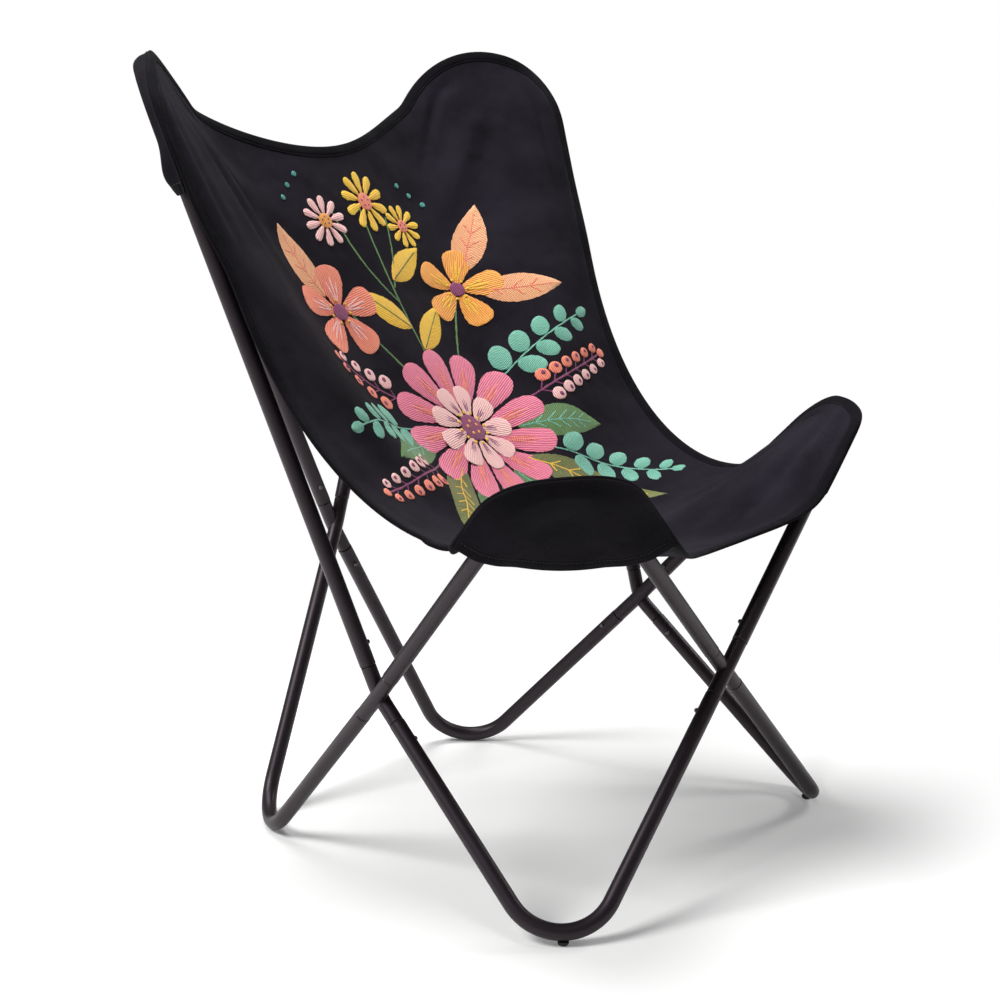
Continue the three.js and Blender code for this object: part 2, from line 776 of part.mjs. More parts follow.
// The chair stands with the middle of its plan over the origin
const middle = new THREE.Box3().setFromObject(chair, true).getCenter(new THREE.Vector3());
chair.children.forEach((mesh) => {
  mesh.position.x -= middle.x;
  mesh.position.y -= middle.y;
});

export default chair;
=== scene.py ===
import math
import random

import bmesh
import bpy
from mathutils import Matrix, Vector
from mathutils.bvhtree import BVHTree


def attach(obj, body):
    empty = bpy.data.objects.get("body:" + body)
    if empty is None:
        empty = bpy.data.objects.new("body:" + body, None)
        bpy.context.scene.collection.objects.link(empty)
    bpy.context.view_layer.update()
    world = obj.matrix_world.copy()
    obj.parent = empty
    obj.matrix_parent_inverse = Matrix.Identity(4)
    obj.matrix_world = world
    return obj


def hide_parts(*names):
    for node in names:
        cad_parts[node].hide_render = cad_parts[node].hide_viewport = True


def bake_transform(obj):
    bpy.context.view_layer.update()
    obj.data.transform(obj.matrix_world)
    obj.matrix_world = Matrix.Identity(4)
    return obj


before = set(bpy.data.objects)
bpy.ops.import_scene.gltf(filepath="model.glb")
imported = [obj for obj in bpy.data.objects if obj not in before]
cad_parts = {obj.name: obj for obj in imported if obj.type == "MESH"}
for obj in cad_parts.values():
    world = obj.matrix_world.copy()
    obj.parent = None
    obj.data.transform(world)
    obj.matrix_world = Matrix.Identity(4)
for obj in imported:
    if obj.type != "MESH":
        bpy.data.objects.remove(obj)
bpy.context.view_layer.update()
print("frame loaded:", len(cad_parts), "nodes")

mm = 0.001
planShift = Vector((-0.594, -22.103, 0)) * mm   # the source centres the chair in plan
up = Vector((0, 0, 1))
rightward = Vector((1, 0, 0))
overhead = 2   # metres, above everything


def place(x, y, z):   # a point of the source, in millimetres, in the chair's frame
    return Vector((x, y, z)) * mm + planShift


def smooth(share):   # eased between 0 and 1
    share = min(max(share, 0), 1)
    return share * share * (3 - 2 * share)


# meshes

def addObject(name, data):
    made = bpy.data.objects.new(name, data)
    bpy.context.scene.collection.objects.link(made)
    return made


def finishMesh(name, bm):   # a bmesh becomes an object at the origin
    mesh = bpy.data.meshes.new(name)
    bm.to_mesh(mesh)
    bm.free()
    return addObject(name, mesh)


def standAt(at, along):   # turns the Z axis along a direction, at a point
    return Matrix.Translation(at) @ along.to_track_quat("Z", "Y").to_matrix().to_4x4()


def faceOut(bm, way=None):   # the faces agree, and look the given way
    bmesh.ops.recalc_face_normals(bm, faces=bm.faces)
    if way is not None and sum(f.normal.dot(way) for f in bm.faces) < 0:
        bmesh.ops.reverse_faces(bm, faces=bm.faces)


def layUv(faces, layer, spotOf):
    for face in faces:
        for loop in face.loops:
            loop[layer].uv = spotOf(loop.vert)


def thicken(piece, thickness, offset=0, even=False, group=""):
    wall = piece.modifiers.new("wall", "SOLIDIFY")
    wall.thickness = thickness
    wall.offset = offset
    wall.use_even_offset = even
    wall.vertex_group = group


def refine(piece):
    fine = piece.modifiers.new("fine", "SUBSURF")
    fine.levels = fine.render_levels = 1


def bakeModifiers(piece):   # the evaluated mesh replaces the piece's own
    bpy.context.view_layer.update()
    graph = bpy.context.evaluated_depsgraph_get()
    mesh = bpy.data.meshes.new_from_object(piece.evaluated_get(graph))
    piece.modifiers.clear()
    piece.data = mesh


def dress(piece, material, degrees, nodes=(), body="frame"):   # shading, finish, nodes and body
    bakeModifiers(piece)
    piece.data.polygons.foreach_set("use_smooth", [True] * len(piece.data.polygons))
    piece.data.set_sharp_from_angle(angle=math.radians(degrees))
    if not piece.data.materials:
        piece.data.materials.append(material)
    else:
        piece.data.materials[0] = material
    if body:
        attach(piece, body)
    if nodes:
        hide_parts(*nodes)
    return piece


def cutOrJoin(piece, tool, operation):
    step = piece.modifiers.new("step", "BOOLEAN")
    step.object = tool
    step.operation = operation
    step.solver = "EXACT"
    bakeModifiers(piece)
    bpy.data.objects.remove(tool)


# materials

def srgb(code):   # sRGB hex to linear
    parts = [int(code[k:k + 2], 16) / 255 for k in (1, 3, 5)]
    return [c / 12.92 if c <= 0.04045 else ((c + 0.055) / 1.055) ** 2.4 for c in parts] + [1.0]


def emptyTree(owner):
    owner.use_nodes = True
    owner.node_tree.nodes.clear()
    return owner.node_tree


def addNode(tree, kind, links=None, out=0, **settings):   # a node with its settings, values and links
    made = tree.nodes.new("ShaderNode" + kind)
    for name, value in settings.items():
        setattr(made, name, value)
    for name, value in (links or {}).items():
        if isinstance(value, bpy.types.NodeSocket):
            tree.links.new(value, made.inputs[name])
        else:
            made.inputs[name].default_value = value
    return made.outputs[out] if len(made.outputs) else None


def noise(tree, at, scale, detail, roughness=0.5):
    links = {"Vector": at, "Scale": scale, "Detail": detail, "Roughness": roughness}
    return addNode(tree, "TexNoise", links)


def ridges(tree, at, pitch, distortion, fineness, direction):   # bands one pitch apart
    return addNode(tree, "TexWave", {"Vector": at, "Scale": 2 * math.pi / (20 * pitch), "Detail": 2,
                   "Distortion": distortion, "Detail Scale": fineness}, bands_direction=direction)


def calculate(tree, operation, *values, **settings):
    return addNode(tree, "Math", dict(enumerate(values)), operation=operation, **settings)


def widen(tree, value, low, high, **settings):   # low to high becomes 0 to 1
    return addNode(tree, "MapRange", {"Value": value, "From Min": low, "From Max": high}, **settings)


def narrow(tree, value, low, high):   # 0 to 1 becomes low to high
    return addNode(tree, "MapRange", {"Value": value, "To Min": low, "To Max": high})


def tones(tree, share, dark, light):
    links = {0: share, 6: srgb(dark), 7: srgb(light)}
    return addNode(tree, "Mix", links, 2, data_type="RGBA")


def relief(tree, height, strength, distance, over=None):   # a bump, over another one where given
    links = {"Height": height, "Strength": strength, "Distance": distance}
    if over is not None:
        links["Normal"] = over
    return addNode(tree, "Bump", links)


def newMaterial(name):   # a material, its empty tree and the piece's own coordinates
    material = bpy.data.materials.new(name)
    tree = emptyTree(material)
    return material, tree, addNode(tree, "TexCoord", out="Object")


def finishMaterial(material, sockets):
    tree = material.node_tree
    shader = addNode(tree, "BsdfPrincipled", sockets)
    addNode(tree, "OutputMaterial", {"Surface": shader})
    return material


def powderCoat():   # satin black powder coat on steel: an even dark film with a fine orange peel
    material, tree, at = newMaterial("powderCoatBlack")
    cloud = noise(tree, at, scale=30, detail=4)
    peel = noise(tree, at, scale=700, detail=2)
    return finishMaterial(material, {
        "Base Color": tones(tree, cloud, "#110c0f", "#1c1519"),
        "Roughness": narrow(tree, cloud, 0.36, 0.5),
        "Normal": relief(tree, peel, strength=0.06, distance=0.3 * mm),
        "Specular IOR Level": 0.42,
        "Specular Tint": srgb("#ffeffb"),   # a warm cast in the film
    })


def blackenedSteel():   # snap buttons: blackened spring steel in a random mottle, its pale tone partly rubbed wear and partly painted highlight
    material, tree, at = newMaterial("blackenedSteel")
    rubAndHighlight = noise(tree, at, scale=420, detail=3)
    return finishMaterial(material, {
        "Base Color": tones(tree, rubAndHighlight, "#2b2b2d", "#6e6e71"),
        "Roughness": narrow(tree, rubAndHighlight, 0.3, 0.5),
        "Metallic": 0.7,
    })


def springSteel():   # leaf springs: bare rolled strip with a fine grain
    material, tree, at = newMaterial("springSteelStrip")
    grain = noise(tree, at, scale=900, detail=2)
    return finishMaterial(material, {
        "Base Color": tones(tree, grain, "#85878a", "#b3b5b8"),
        "Metallic": 1.0,
        "Roughness": 0.32,
    })


def mouldedNylon():   # feet: moulded black nylon, dull and faintly grained
    material, tree, at = newMaterial("mouldedNylonBlack")
    grain = noise(tree, at, scale=900, detail=3)
    return finishMaterial(material, {
        "Base Color": tones(tree, grain, "#101011", "#1e1e20"),
        "Normal": relief(tree, grain, strength=0.2, distance=0.3 * mm),
        "Roughness": 0.62,
    })


def cottonCanvas(name, dark, light, pitch=1.8 * mm):
    # plain woven cotton duck, dyed black: matt, a faint thread grid, lint and soft rubbed patches
    # the real threads are about 0.6 mm apart; they are drawn coarser so that they show
    material, tree, at = newMaterial(name)
    cloth = addNode(tree, "UVMap", uv_map="weave")
    warp, weft = [ridges(tree, cloth, pitch, 1.2, 2.0, way) for way in "XY"]
    over = addNode(tree, "Mix", {0: 0.5, 6: warp, 7: weft}, 2, data_type="RGBA", blend_type="DIFFERENCE")
    soft = noise(tree, at, scale=9, detail=5, roughness=0.6)
    lint = noise(tree, cloth, scale=900, detail=3, roughness=0.7)
    rubbed = widen(tree, calculate(tree, "MULTIPLY", soft, lint), 0.15, 0.38)
    thread = calculate(tree, "MULTIPLY_ADD", over, 0.35, rubbed)
    rumple = noise(tree, at, scale=15, detail=2, roughness=0.4)
    waves = relief(tree, rumple, strength=0.6, distance=18 * mm)
    height = calculate(tree, "ADD", over, lint)
    return finishMaterial(material, {
        "Base Color": tones(tree, thread, dark, light),
        "Normal": relief(tree, height, strength=0.5, distance=0.6 * mm, over=waves),
        "Roughness": 0.92,
        "Specular IOR Level": 0.08,
        "Sheen Weight": 0.02,
        "Sheen Roughness": 0.45,
    })


def stitchThread(name, dark, light, pitch=2.6 * mm):
    # stranded cotton laid in satin stitch: silky, each stitch a soft ridge, deeper at its root
    # real strands are about 1 mm wide; they are drawn coarser so that they show
    material, tree, at = newMaterial(name)
    lay = addNode(tree, "UVMap", uv_map="stitch")
    ridge = ridges(tree, lay, pitch, 1.6, 1.5, "X")
    stretch = addNode(tree, "Mapping", {"Vector": lay, "Scale": (700, 90, 1)})
    height = calculate(tree, "MULTIPLY", ridge, noise(tree, stretch, scale=1.0, detail=3))
    reach = addNode(tree, "SeparateXYZ", {0: addNode(tree, "UVMap", uv_map="reach")})
    shade = calculate(tree, "MULTIPLY_ADD", reach, 0.45, -0.2)
    # the tone runs from the shaded to the lit colour with the ridge height: painted shade between stitches,
    # painted highlight on their crowns
    level = calculate(tree, "ADD", widen(tree, height, 0.05, 0.5), shade, use_clamp=True)
    return finishMaterial(material, {
        "Base Color": tones(tree, level, dark, light),
        "Normal": relief(tree, height, strength=0.8, distance=1 * mm),
        "Roughness": 0.6,
        "Sheen Weight": 0.15,
    })


# camera, floor and light

studio = {
    "cameraAt": place(-1865.1, -1329.9, 881.3),
    "right": Vector((0.5922, -0.8058, 0.0005)),
    "forward": Vector((0.7882, 0.5791, -0.2082)),
    "lens": 72.3, "sensor": 36, "shift": (0.0018, 0.0005), "clipEnd": 50,
    "floorColour": "#f8f8f7", "floorSize": 30, "fade": (0.15, 1.1), "worldStrength": 0.17,
    "lamps": {   # where it stands, where it points, its width and its power
        "keySoftbox": ((-2.3, 1.1, 2.7), (0, 0, 0.45), 1.5, 110),
        "fillSoftbox": ((2.6, -1.2, 2.2), (0, 0, 0.55), 1.2, 30),
        "topSoftbox": ((0.1, 0.5, 3.0), (0, 0, 0.4), 1.6, 80),
    },
}


def addCamera():
    data = bpy.data.cameras.new("photoCamera")
    data.sensor_width = studio["sensor"]
    data.lens = studio["lens"]
    data.shift_x, data.shift_y = studio["shift"]
    data.clip_end = studio["clipEnd"]
    camera = addObject("photoCamera", data)
    forward = studio["forward"].normalized()
    right = (studio["right"] - forward * studio["right"].dot(forward)).normalized()
    turn = Matrix((right, right.cross(forward), -forward)).transposed().to_4x4()
    camera.matrix_world = Matrix.Translation(studio["cameraAt"]) @ turn
    bpy.context.scene.camera = camera


def addLamp(name, at, aim, size, power):
    data = bpy.data.lights.new(name, "AREA")
    data.shape = "DISK"
    data.size = size
    data.energy = power
    lamp = addObject(name, data)
    lamp.location = at
    lamp.rotation_euler = (Vector(aim) - Vector(at)).to_track_quat("-Z", "Y").to_euler()


def addStudio():
    white = (1, 1, 1, 1)
    world = bpy.data.worlds.new("paleStudio")
    bpy.context.scene.world = world
    tree = emptyTree(world)
    seen = addNode(tree, "LightPath", out="Is Camera Ray")
    shown = addNode(tree, "Background", {"Color": white, "Strength": 1.0})
    lit = addNode(tree, "Background", {"Color": white, "Strength": studio["worldStrength"]})
    mixed = addNode(tree, "MixShader", {0: seen, 1: lit, 2: shown})
    addNode(tree, "OutputWorld", {"Surface": mixed})

    bm = bmesh.new()
    bmesh.ops.create_grid(bm, x_segments=2, y_segments=2, size=studio["floorSize"])
    floor = finishMesh("floor", bm)
    paint, tree, at = newMaterial("paleFloor")   # matt paper sweep, white where no shadow falls
    seen = addNode(tree, "LightPath", out="Is Camera Ray")
    away = addNode(tree, "VectorMath", {0: at}, "Value", operation="LENGTH")
    fade = widen(tree, away, *studio["fade"], interpolation_type="SMOOTHSTEP")
    share = calculate(tree, "MULTIPLY", fade, seen)
    paper = addNode(tree, "BsdfDiffuse", {"Color": srgb(studio["floorColour"])})
    glow = addNode(tree, "Emission", {"Color": white, "Strength": 1.0})
    mixed = addNode(tree, "MixShader", {0: share, 1: paper, 2: glow})
    addNode(tree, "OutputMaterial", {"Surface": mixed})
    floor.data.materials.append(paint)
    for name, lamp in studio["lamps"].items():
        addLamp(name, *lamp)
    bpy.context.scene.view_settings.view_transform = "Standard"


# the bent tube frame

tube = {
    "radius": 9 * mm, "wall": 1.2 * mm, "sides": 32, "arcSteps": 28,
    "seam": 36 * mm, "gap": 0.3 * mm, "blend": 14 * mm, "blendSteps": 6,
    "spigotRadius": 7.5 * mm, "spigotLength": 42 * mm, "spigotBore": 6.3 * mm, "boreDepth": 44.6 * mm,
    "buttonFromSeam": 24 * mm, "buttonLean": math.radians(22), "lip": 0.7 * mm,
    "holeRadius": 3.0 * mm, "holeDepth": 16 * mm, "holeSides": 24,
}
crosses = {   # the place, the ways out and aside, and which loop passes outside
    "left": {"at": (-262, 9, 220), "out": (-1, 0, 0), "aside": (0, 1, 0), "outer": 1},
    "right": {"at": (262, 9, 220), "out": (1, 0, 0), "aside": (0, -1, 0), "outer": 1},
    "front": {"at": (0, -270, 239), "out": (0, -1, 0), "aside": (1, 0, 0), "outer": 0},
    "back": {"at": (0, 296, 324), "out": (0, 1, 0), "aside": (1, 0, 0), "outer": 0},
}
crossTubes = {"radius": 8.6 * mm, "offset": 2.5 * mm}
hoops = {
    "back": {"apex": (319, 277, 887), "radius": 87},
    "front": {"apex": (293, -251, 484), "radius": 58},
}
floorBends = {
    "apex": {"back": (187, 244), "front": (264, -242)}, "radius": 60 * mm, "settling": 8,
    "rest": {"front": 14.3 * mm, "back": 9.3 * mm},   # only the front has feet
}
corners = [
    {"end": "back", "side": "left", "mirror": -1, "hoopLoop": 0, "floorLoop": 1},
    {"end": "back", "side": "right", "mirror": 1, "hoopLoop": 1, "floorLoop": 0},
    {"end": "front", "side": "left", "mirror": -1, "hoopLoop": 1, "floorLoop": 0},
    {"end": "front", "side": "right", "mirror": 1, "hoopLoop": 0, "floorLoop": 1},
]


def crossing(side, loop):
    cross = crosses[side]
    shift = crossTubes["offset"] if cross["outer"] == loop else -crossTubes["offset"]
    return place(*cross["at"]) + Vector(cross["out"]) * shift


def outward(line, angle):
    return line["rise"] * math.cos(angle) + line["chord"] * math.sin(angle)


def heading(line, angle):
    return line["chord"] * math.cos(angle) - line["rise"] * math.sin(angle)


def onArc(line, angle, margin=0.0):
    return line["centre"] + outward(line, angle) * (line["radius"] + margin)


def bendLine(a, b, apex, radius):   # two straight legs tangent to an arc
    chord = (b - a).normalized()
    rise = apex - a
    rise = (rise - chord * rise.dot(chord)).normalized()
    centre = apex - rise * radius

    def touch(end, side):
        out = end - centre
        bearing = math.atan2(side * out.dot(chord), out.dot(rise))
        return side * (bearing - math.acos(radius / out.length))

    angles = touch(a, -1), touch(b, 1)
    line = {"chord": chord, "rise": rise, "centre": centre, "radius": radius,
            "angles": angles, "legs": []}
    for end, side, angle in zip((a, b), (-1, 1), angles):
        down = heading(line, angle) * side
        seam = end - down * tube["seam"]
        line["legs"].append({"cross": end, "down": down, "touch": onArc(line, angle),
                             "out": outward(line, angle), "seam": seam,
                             "button": seam - down * tube["buttonFromSeam"]})
    return line


def lowestPoint(line):
    normal = line["chord"].cross(line["rise"])
    down = (-up + normal * up.dot(normal)).normalized()
    return line["centre"] + down * line["radius"]


def faceButtons(corner, line, loop):   # into the chair, leaning to one side on each loop
    lean = tube["buttonLean"] if loop else -tube["buttonLean"]
    for side, leg in zip((corner["side"], corner["end"]), line["legs"]):
        cross = crosses[side]
        way = Vector(cross["aside"]) * math.sin(lean) - Vector(cross["out"]) * math.cos(lean)
        leg["facing"] = (way - leg["down"] * way.dot(leg["down"])).normalized()
    return line


def layOutFrame():
    for corner in corners:
        side, end, mirror = corner["side"], corner["end"], corner["mirror"]
        corner["name"] = end + "_" + side
        hoopEnds, floorEnds = [[crossing(side, corner[loop]), crossing(end, corner[loop])]
                               for loop in ("hoopLoop", "floorLoop")]
        x, y, z = hoops[end]["apex"]
        hoop = bendLine(*hoopEnds, place(mirror * x, y, z), hoops[end]["radius"] * mm)
        corner["hoop"] = faceButtons(corner, hoop, corner["hoopLoop"])
        x, y = floorBends["apex"][end]
        rest = floorBends["rest"][end]
        apex = place(mirror * x, y, 0) + up * rest
        for _ in range(floorBends["settling"]):   # until its lowest point comes to rest
            low = lowestPoint(bendLine(*floorEnds, apex, floorBends["radius"]))
            apex.z += rest - low.z
        bend = bendLine(*floorEnds, apex, floorBends["radius"])
        corner["bend"] = faceButtons(corner, bend, corner["floorLoop"])


def vertsOf(edges):
    return list(dict.fromkeys(v for e in edges for v in e.verts))


def firstRing(bm, at, along, radius):   # a circle of edges square to the tube
    bmesh.ops.create_circle(bm, cap_ends=False, segments=tube["sides"], radius=radius,
                            matrix=standAt(at, along))
    return bm.edges[:]


def moveRing(bm, edges, move):
    bmesh.ops.translate(bm, verts=vertsOf(edges), vec=move)
    return edges


def scaleRing(bm, edges, share, at):
    bmesh.ops.scale(bm, verts=vertsOf(edges), vec=(share,) * 3, space=Matrix.Translation(-at))
    return edges


def growRing(bm, edges):   # extrude a ring of edges
    grown = bmesh.ops.extrude_edge_only(bm, edges=edges)["geom"]
    verts = {g for g in grown if isinstance(g, bmesh.types.BMVert)}
    return [g for g in grown if isinstance(g, bmesh.types.BMEdge) and verts.issuperset(g.verts)]


def pushRing(bm, edges, move):
    return moveRing(bm, growRing(bm, edges), move)


def stepRing(bm, edges, share, at):
    return scaleRing(bm, growRing(bm, edges), share, at)


def spinRing(bm, edges, centre, axis, angle, steps):
    last = bmesh.ops.spin(bm, geom=edges + vertsOf(edges), cent=centre, axis=axis, dvec=(0, 0, 0),
                          angle=angle, steps=steps, use_duplicate=False)["geom_last"]
    return [g for g in last if isinstance(g, bmesh.types.BMEdge)]


def cutHoles(piece, legs):   # for each button, from the tube's axis out through one wall
    radius, depth = tube["holeRadius"], tube["holeDepth"]
    for leg in legs:
        bm = bmesh.new()
        middle = leg["button"] + leg["facing"] * depth / 2
        bmesh.ops.create_cone(bm, cap_ends=True, segments=tube["holeSides"], depth=depth,
                              radius1=radius, radius2=radius, matrix=standAt(middle, leg["facing"]))
        cutOrJoin(piece, finishMesh("holeTool", bm), "DIFFERENCE")


def bentTube(name, line):   # leg, arc, leg, with a rounded lip at both ends and a hole for each button
    start, end = line["legs"]
    radius, lip = tube["radius"], tube["lip"]
    first, last = line["angles"]
    bm = bmesh.new()
    ring = firstRing(bm, start["seam"], -start["down"], radius - lip)
    ring = stepRing(bm, ring, radius / (radius - lip), start["seam"])
    moveRing(bm, ring, -start["down"] * lip)
    ring = pushRing(bm, ring, start["touch"] - start["seam"] + start["down"] * lip)
    axis = line["rise"].cross(line["chord"])
    ring = spinRing(bm, ring, line["centre"], axis, last - first, tube["arcSteps"])
    ring = pushRing(bm, ring, end["seam"] - end["touch"] - end["down"] * lip)
    ring = stepRing(bm, ring, (radius - lip) / radius, end["seam"] - end["down"] * lip)
    moveRing(bm, ring, end["down"] * lip)
    faceOut(bm)
    piece = finishMesh(name, bm)
    thicken(piece, tube["wall"], -1)
    bakeModifiers(piece)
    cutHoles(piece, line["legs"])
    return piece


def crossTube(name, legs):   # one bent tube of a cross, with a hollow spigot at each end
    ways = [-leg["down"] for leg in legs]
    middle = legs[0]["cross"]
    turnAngle = math.pi - ways[0].angle(ways[1])
    inside = (ways[1] - ways[0] * ways[1].dot(ways[0])).normalized()
    arcStart = middle + ways[0] * tube["blend"]
    arcCentre = arcStart + inside * tube["blend"] / math.tan(turnAngle / 2)
    shoulder = tube["seam"] - tube["gap"]
    radius, lip, spigot = crossTubes["radius"], tube["lip"], tube["spigotRadius"]
    bm = bmesh.new()
    near = firstRing(bm, arcStart, -ways[0], radius)
    far = spinRing(bm, near, arcCentre, ways[0].cross(ways[1]), -turnAngle, tube["blendSteps"])
    for edges, way in zip((near, far), ways):
        at = middle + way * shoulder
        tip = at + way * tube["spigotLength"]
        edges = pushRing(bm, edges, way * (shoulder - tube["blend"] - lip))
        edges = scaleRing(bm, pushRing(bm, edges, way * lip), (radius - lip) / radius, at)
        edges = stepRing(bm, edges, spigot / (radius - lip), at)
        edges = pushRing(bm, edges, way * tube["spigotLength"])
        edges = stepRing(bm, edges, tube["spigotBore"] / spigot, tip)
        edges = pushRing(bm, edges, -way * tube["boreDepth"])
        bmesh.ops.contextual_create(bm, geom=edges)
    faceOut(bm)
    return finishMesh(name, bm)


def buildFrame(coat):
    legsAt = {side: ([], []) for side in crosses}
    for corner in corners:
        for kind, line, loop in (("hoop", corner["hoop"], corner["hoopLoop"]),
                                 ("floor_bend", corner["bend"], corner["floorLoop"])):
            node = kind + "_" + corner["name"]
            dress(bentTube(node + "_tube", line), coat, 35, [node])
            for side, leg in zip((corner["side"], corner["end"]), line["legs"]):
                legsAt[side][loop].append(leg)
                leg["node"] = node + "_cross_" + side
    for side, loops in legsAt.items():
        piece = crossTube("cross_" + side + "_weldment", loops[0])
        cutOrJoin(piece, crossTube("otherTube", loops[1]), "UNION")
        cutHoles(piece, loops[0] + loops[1])
        dress(piece, coat, 35, ["cross_" + side])
    print("frame tubes made")
    return [leg for loops in legsAt.values() for loop in loops for leg in loop]


# snap buttons and feet

button = {
    "base": 5.5 * mm, "steps": 24,
    "profile": [(0, 0), (2.3, 0), (2.7, 0.4), (2.7, 4.3), (2.5, 5.3), (1.9, 6.0), (1.0, 6.4), (0, 6.5)],
}
spring = {"width": 6 * mm, "thickness": 0.7 * mm, "length": 26 * mm, "flat": 4 * mm, "reach": 5.2 * mm,
          "heel": 0.7 * mm, "heelSteps": 6, "steps": 8}
foot = {
    "profile": [(0, 0), (3, 0), (4.15, 0.23), (5.12, 0.88), (5.77, 1.85), (6, 3), (6, 4), (5.6, 4.7),
                (5, 5), (2.5, 5), (2.5, 10.5), (0, 10.5)],
    "steps": 32,
}


def turned(name, shape, at, along):   # a profile of radius and height spun about an axis
    bm = bmesh.new()
    verts = [bm.verts.new((r * mm, 0, h * mm)) for r, h in shape["profile"]]
    edges = [bm.edges.new(pair) for pair in zip(verts, verts[1:])]
    bmesh.ops.spin(bm, geom=verts + edges, cent=(0, 0, 0), axis=(0, 0, 1), dvec=(0, 0, 0),
                   angle=2 * math.pi, steps=shape["steps"], use_merge=True, use_duplicate=False)
    bmesh.ops.remove_doubles(bm, verts=bm.verts, dist=1e-6)
    faceOut(bm)
    bmesh.ops.transform(bm, matrix=standAt(at, along), verts=bm.verts)
    return finishMesh(name, bm)


def springPath():   # the middle of the strip: from over the button round the heel and back
    heel, flat = spring["heel"], spring["flat"]
    top = spring["reach"] - spring["thickness"] / 2
    turn = spring["length"] - heel - spring["thickness"] / 2
    path = [(-flat, top)]
    for k in range(spring["steps"] + 1):
        share = k / spring["steps"]
        path.append((flat + (turn - flat) * share, top + (heel - top) * share))
    for k in range(1, spring["heelSteps"]):
        angle = math.pi * k / spring["heelSteps"]
        path.append((turn + heel * math.sin(angle), heel * math.cos(angle)))
    return path + [(x, -y) for x, y in path[spring["steps"] + 1::-1]]


def buildSpring(leg, strip):   # one arm stays in the tube, the other goes down with the button
    across = leg["down"].cross(leg["facing"]) * spring["width"] / 2
    bm = bmesh.new()
    pairs = []
    for x, y in springPath():
        at = leg["button"] + leg["down"] * x + leg["facing"] * y
        pairs.append((bm.verts.new(at - across), bm.verts.new(at + across)))
    for (a, b), (c, d) in zip(pairs, pairs[1:]):
        bm.faces.new((a, b, d, c))
    faceOut(bm)
    piece = finishMesh("spring_" + leg["node"] + "_leaf", bm)
    thicken(piece, spring["thickness"], even=True)
    dress(piece, strip, 40, ["spring_" + leg["node"]], None)   # it rides no body
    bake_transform(piece)


def buildButtons(legs, steel, strip):
    for leg in legs:
        node = "button_" + leg["node"]
        base = leg["button"] + leg["facing"] * button["base"]
        piece = turned(node + "_dome", button, base, leg["facing"])
        dress(piece, steel, 50, [node], node)
        buildSpring(leg, strip)
    print("buttons made:", len(legs))


def buildFeet(nylon):
    for corner in corners[2:]:
        node = "foot_" + corner["name"]
        low = lowestPoint(corner["bend"])
        piece = turned(node + "_stud", foot, Vector((low.x, low.y, 0)), up)
        dress(piece, nylon, 50, [node])
    print("feet made")


# the canvas sling

sling = {
    "flat": (0.86, 0.97), "seat": (0, -65, 347), "curve": 1.7, "rings": 40, "clothAbove": 10.2 * mm,
    "across": 72, "along": 100, "smoothing": (18, 2), "thickness": 1.6 * mm, "clear": 10 * mm,
    "seam": 1.5 * mm, "curlFrom": 3 * mm, "curlOver": 14 * mm, "curlNear": 60 * mm, "letGo": 110 * mm,
    "backCurl": 0.7, "frontCurl": 0.8, "backTuck": 0.3,   # shares of the way round a hoop
    "grooveAt": 14 * mm, "grooveWidth": 7 * mm, "grooveDepth": 5 * mm,
    "margins": {"back_left": (20, 11.5, 26), "back_right": (20, 15, 26),
                "front_left": (33, 18, 37), "front_right": (13, 15, 37)},
    "reach": {"back_left": (66, 4), "back_right": (66, 4), "front_left": (58, 94), "front_right": (50, 94)},
    "lifts": {"back_left": (0, 16), "back_right": (0, 16), "front_left": (0, 0), "front_right": (3, 0)},
    "liftBlend": 2, "endBlend": 4, "edgeRun": 130, "hoopSteps": 28, "legSteps": 4,
    "sideDip": {"left": (286, -108, 408), "right": (291, -108, 403)}, "sideHandles": (150, 95),
    "frontSag": {"left": 12, "right": 36}, "backSlope": 0.45,
    "endDip": {"front": (0, -262, 374), "back": (0, 302, 793)},
    "endHandles": {"front": (45, 60), "back": (60, 70)},
    "straightSteps": 8, "fallSteps": 24, "climbSteps": 10, "endSteps": 20, "weaveLean": 0.8,
}
creases = {   # soft creases from the tip of each hoop: angle, width in degrees, height in mm
    "from": 30 * mm, "grow": 80 * mm, "to": 360 * mm, "fade": 200 * mm,
    "back_left": [(-18, 5, 10), (2, 6, 13), (21, 5, 11)], "back_right": [(-14, 6, 7), (10, 6, 8)],
    "front_left": [(-6, 6, 5), (16, 7, 5)], "front_right": [(-4, 6, 4), (12, 5, 6), (27, 6, 5)],
}


def marginAt(corner, where):   # how far the edge stands outside the tube: -1 side leg, 0 tip, 1 end leg
    side, tip, end = (m * mm for m in sling["margins"][corner["name"]])
    share = min(abs(where), 1)
    if where < 0:
        return tip + (side - tip) * (share if corner["end"] == "back" else smooth(share))
    return tip + (end - tip) * (share ** sling["endBlend"] if corner["end"] == "back" else smooth(share))


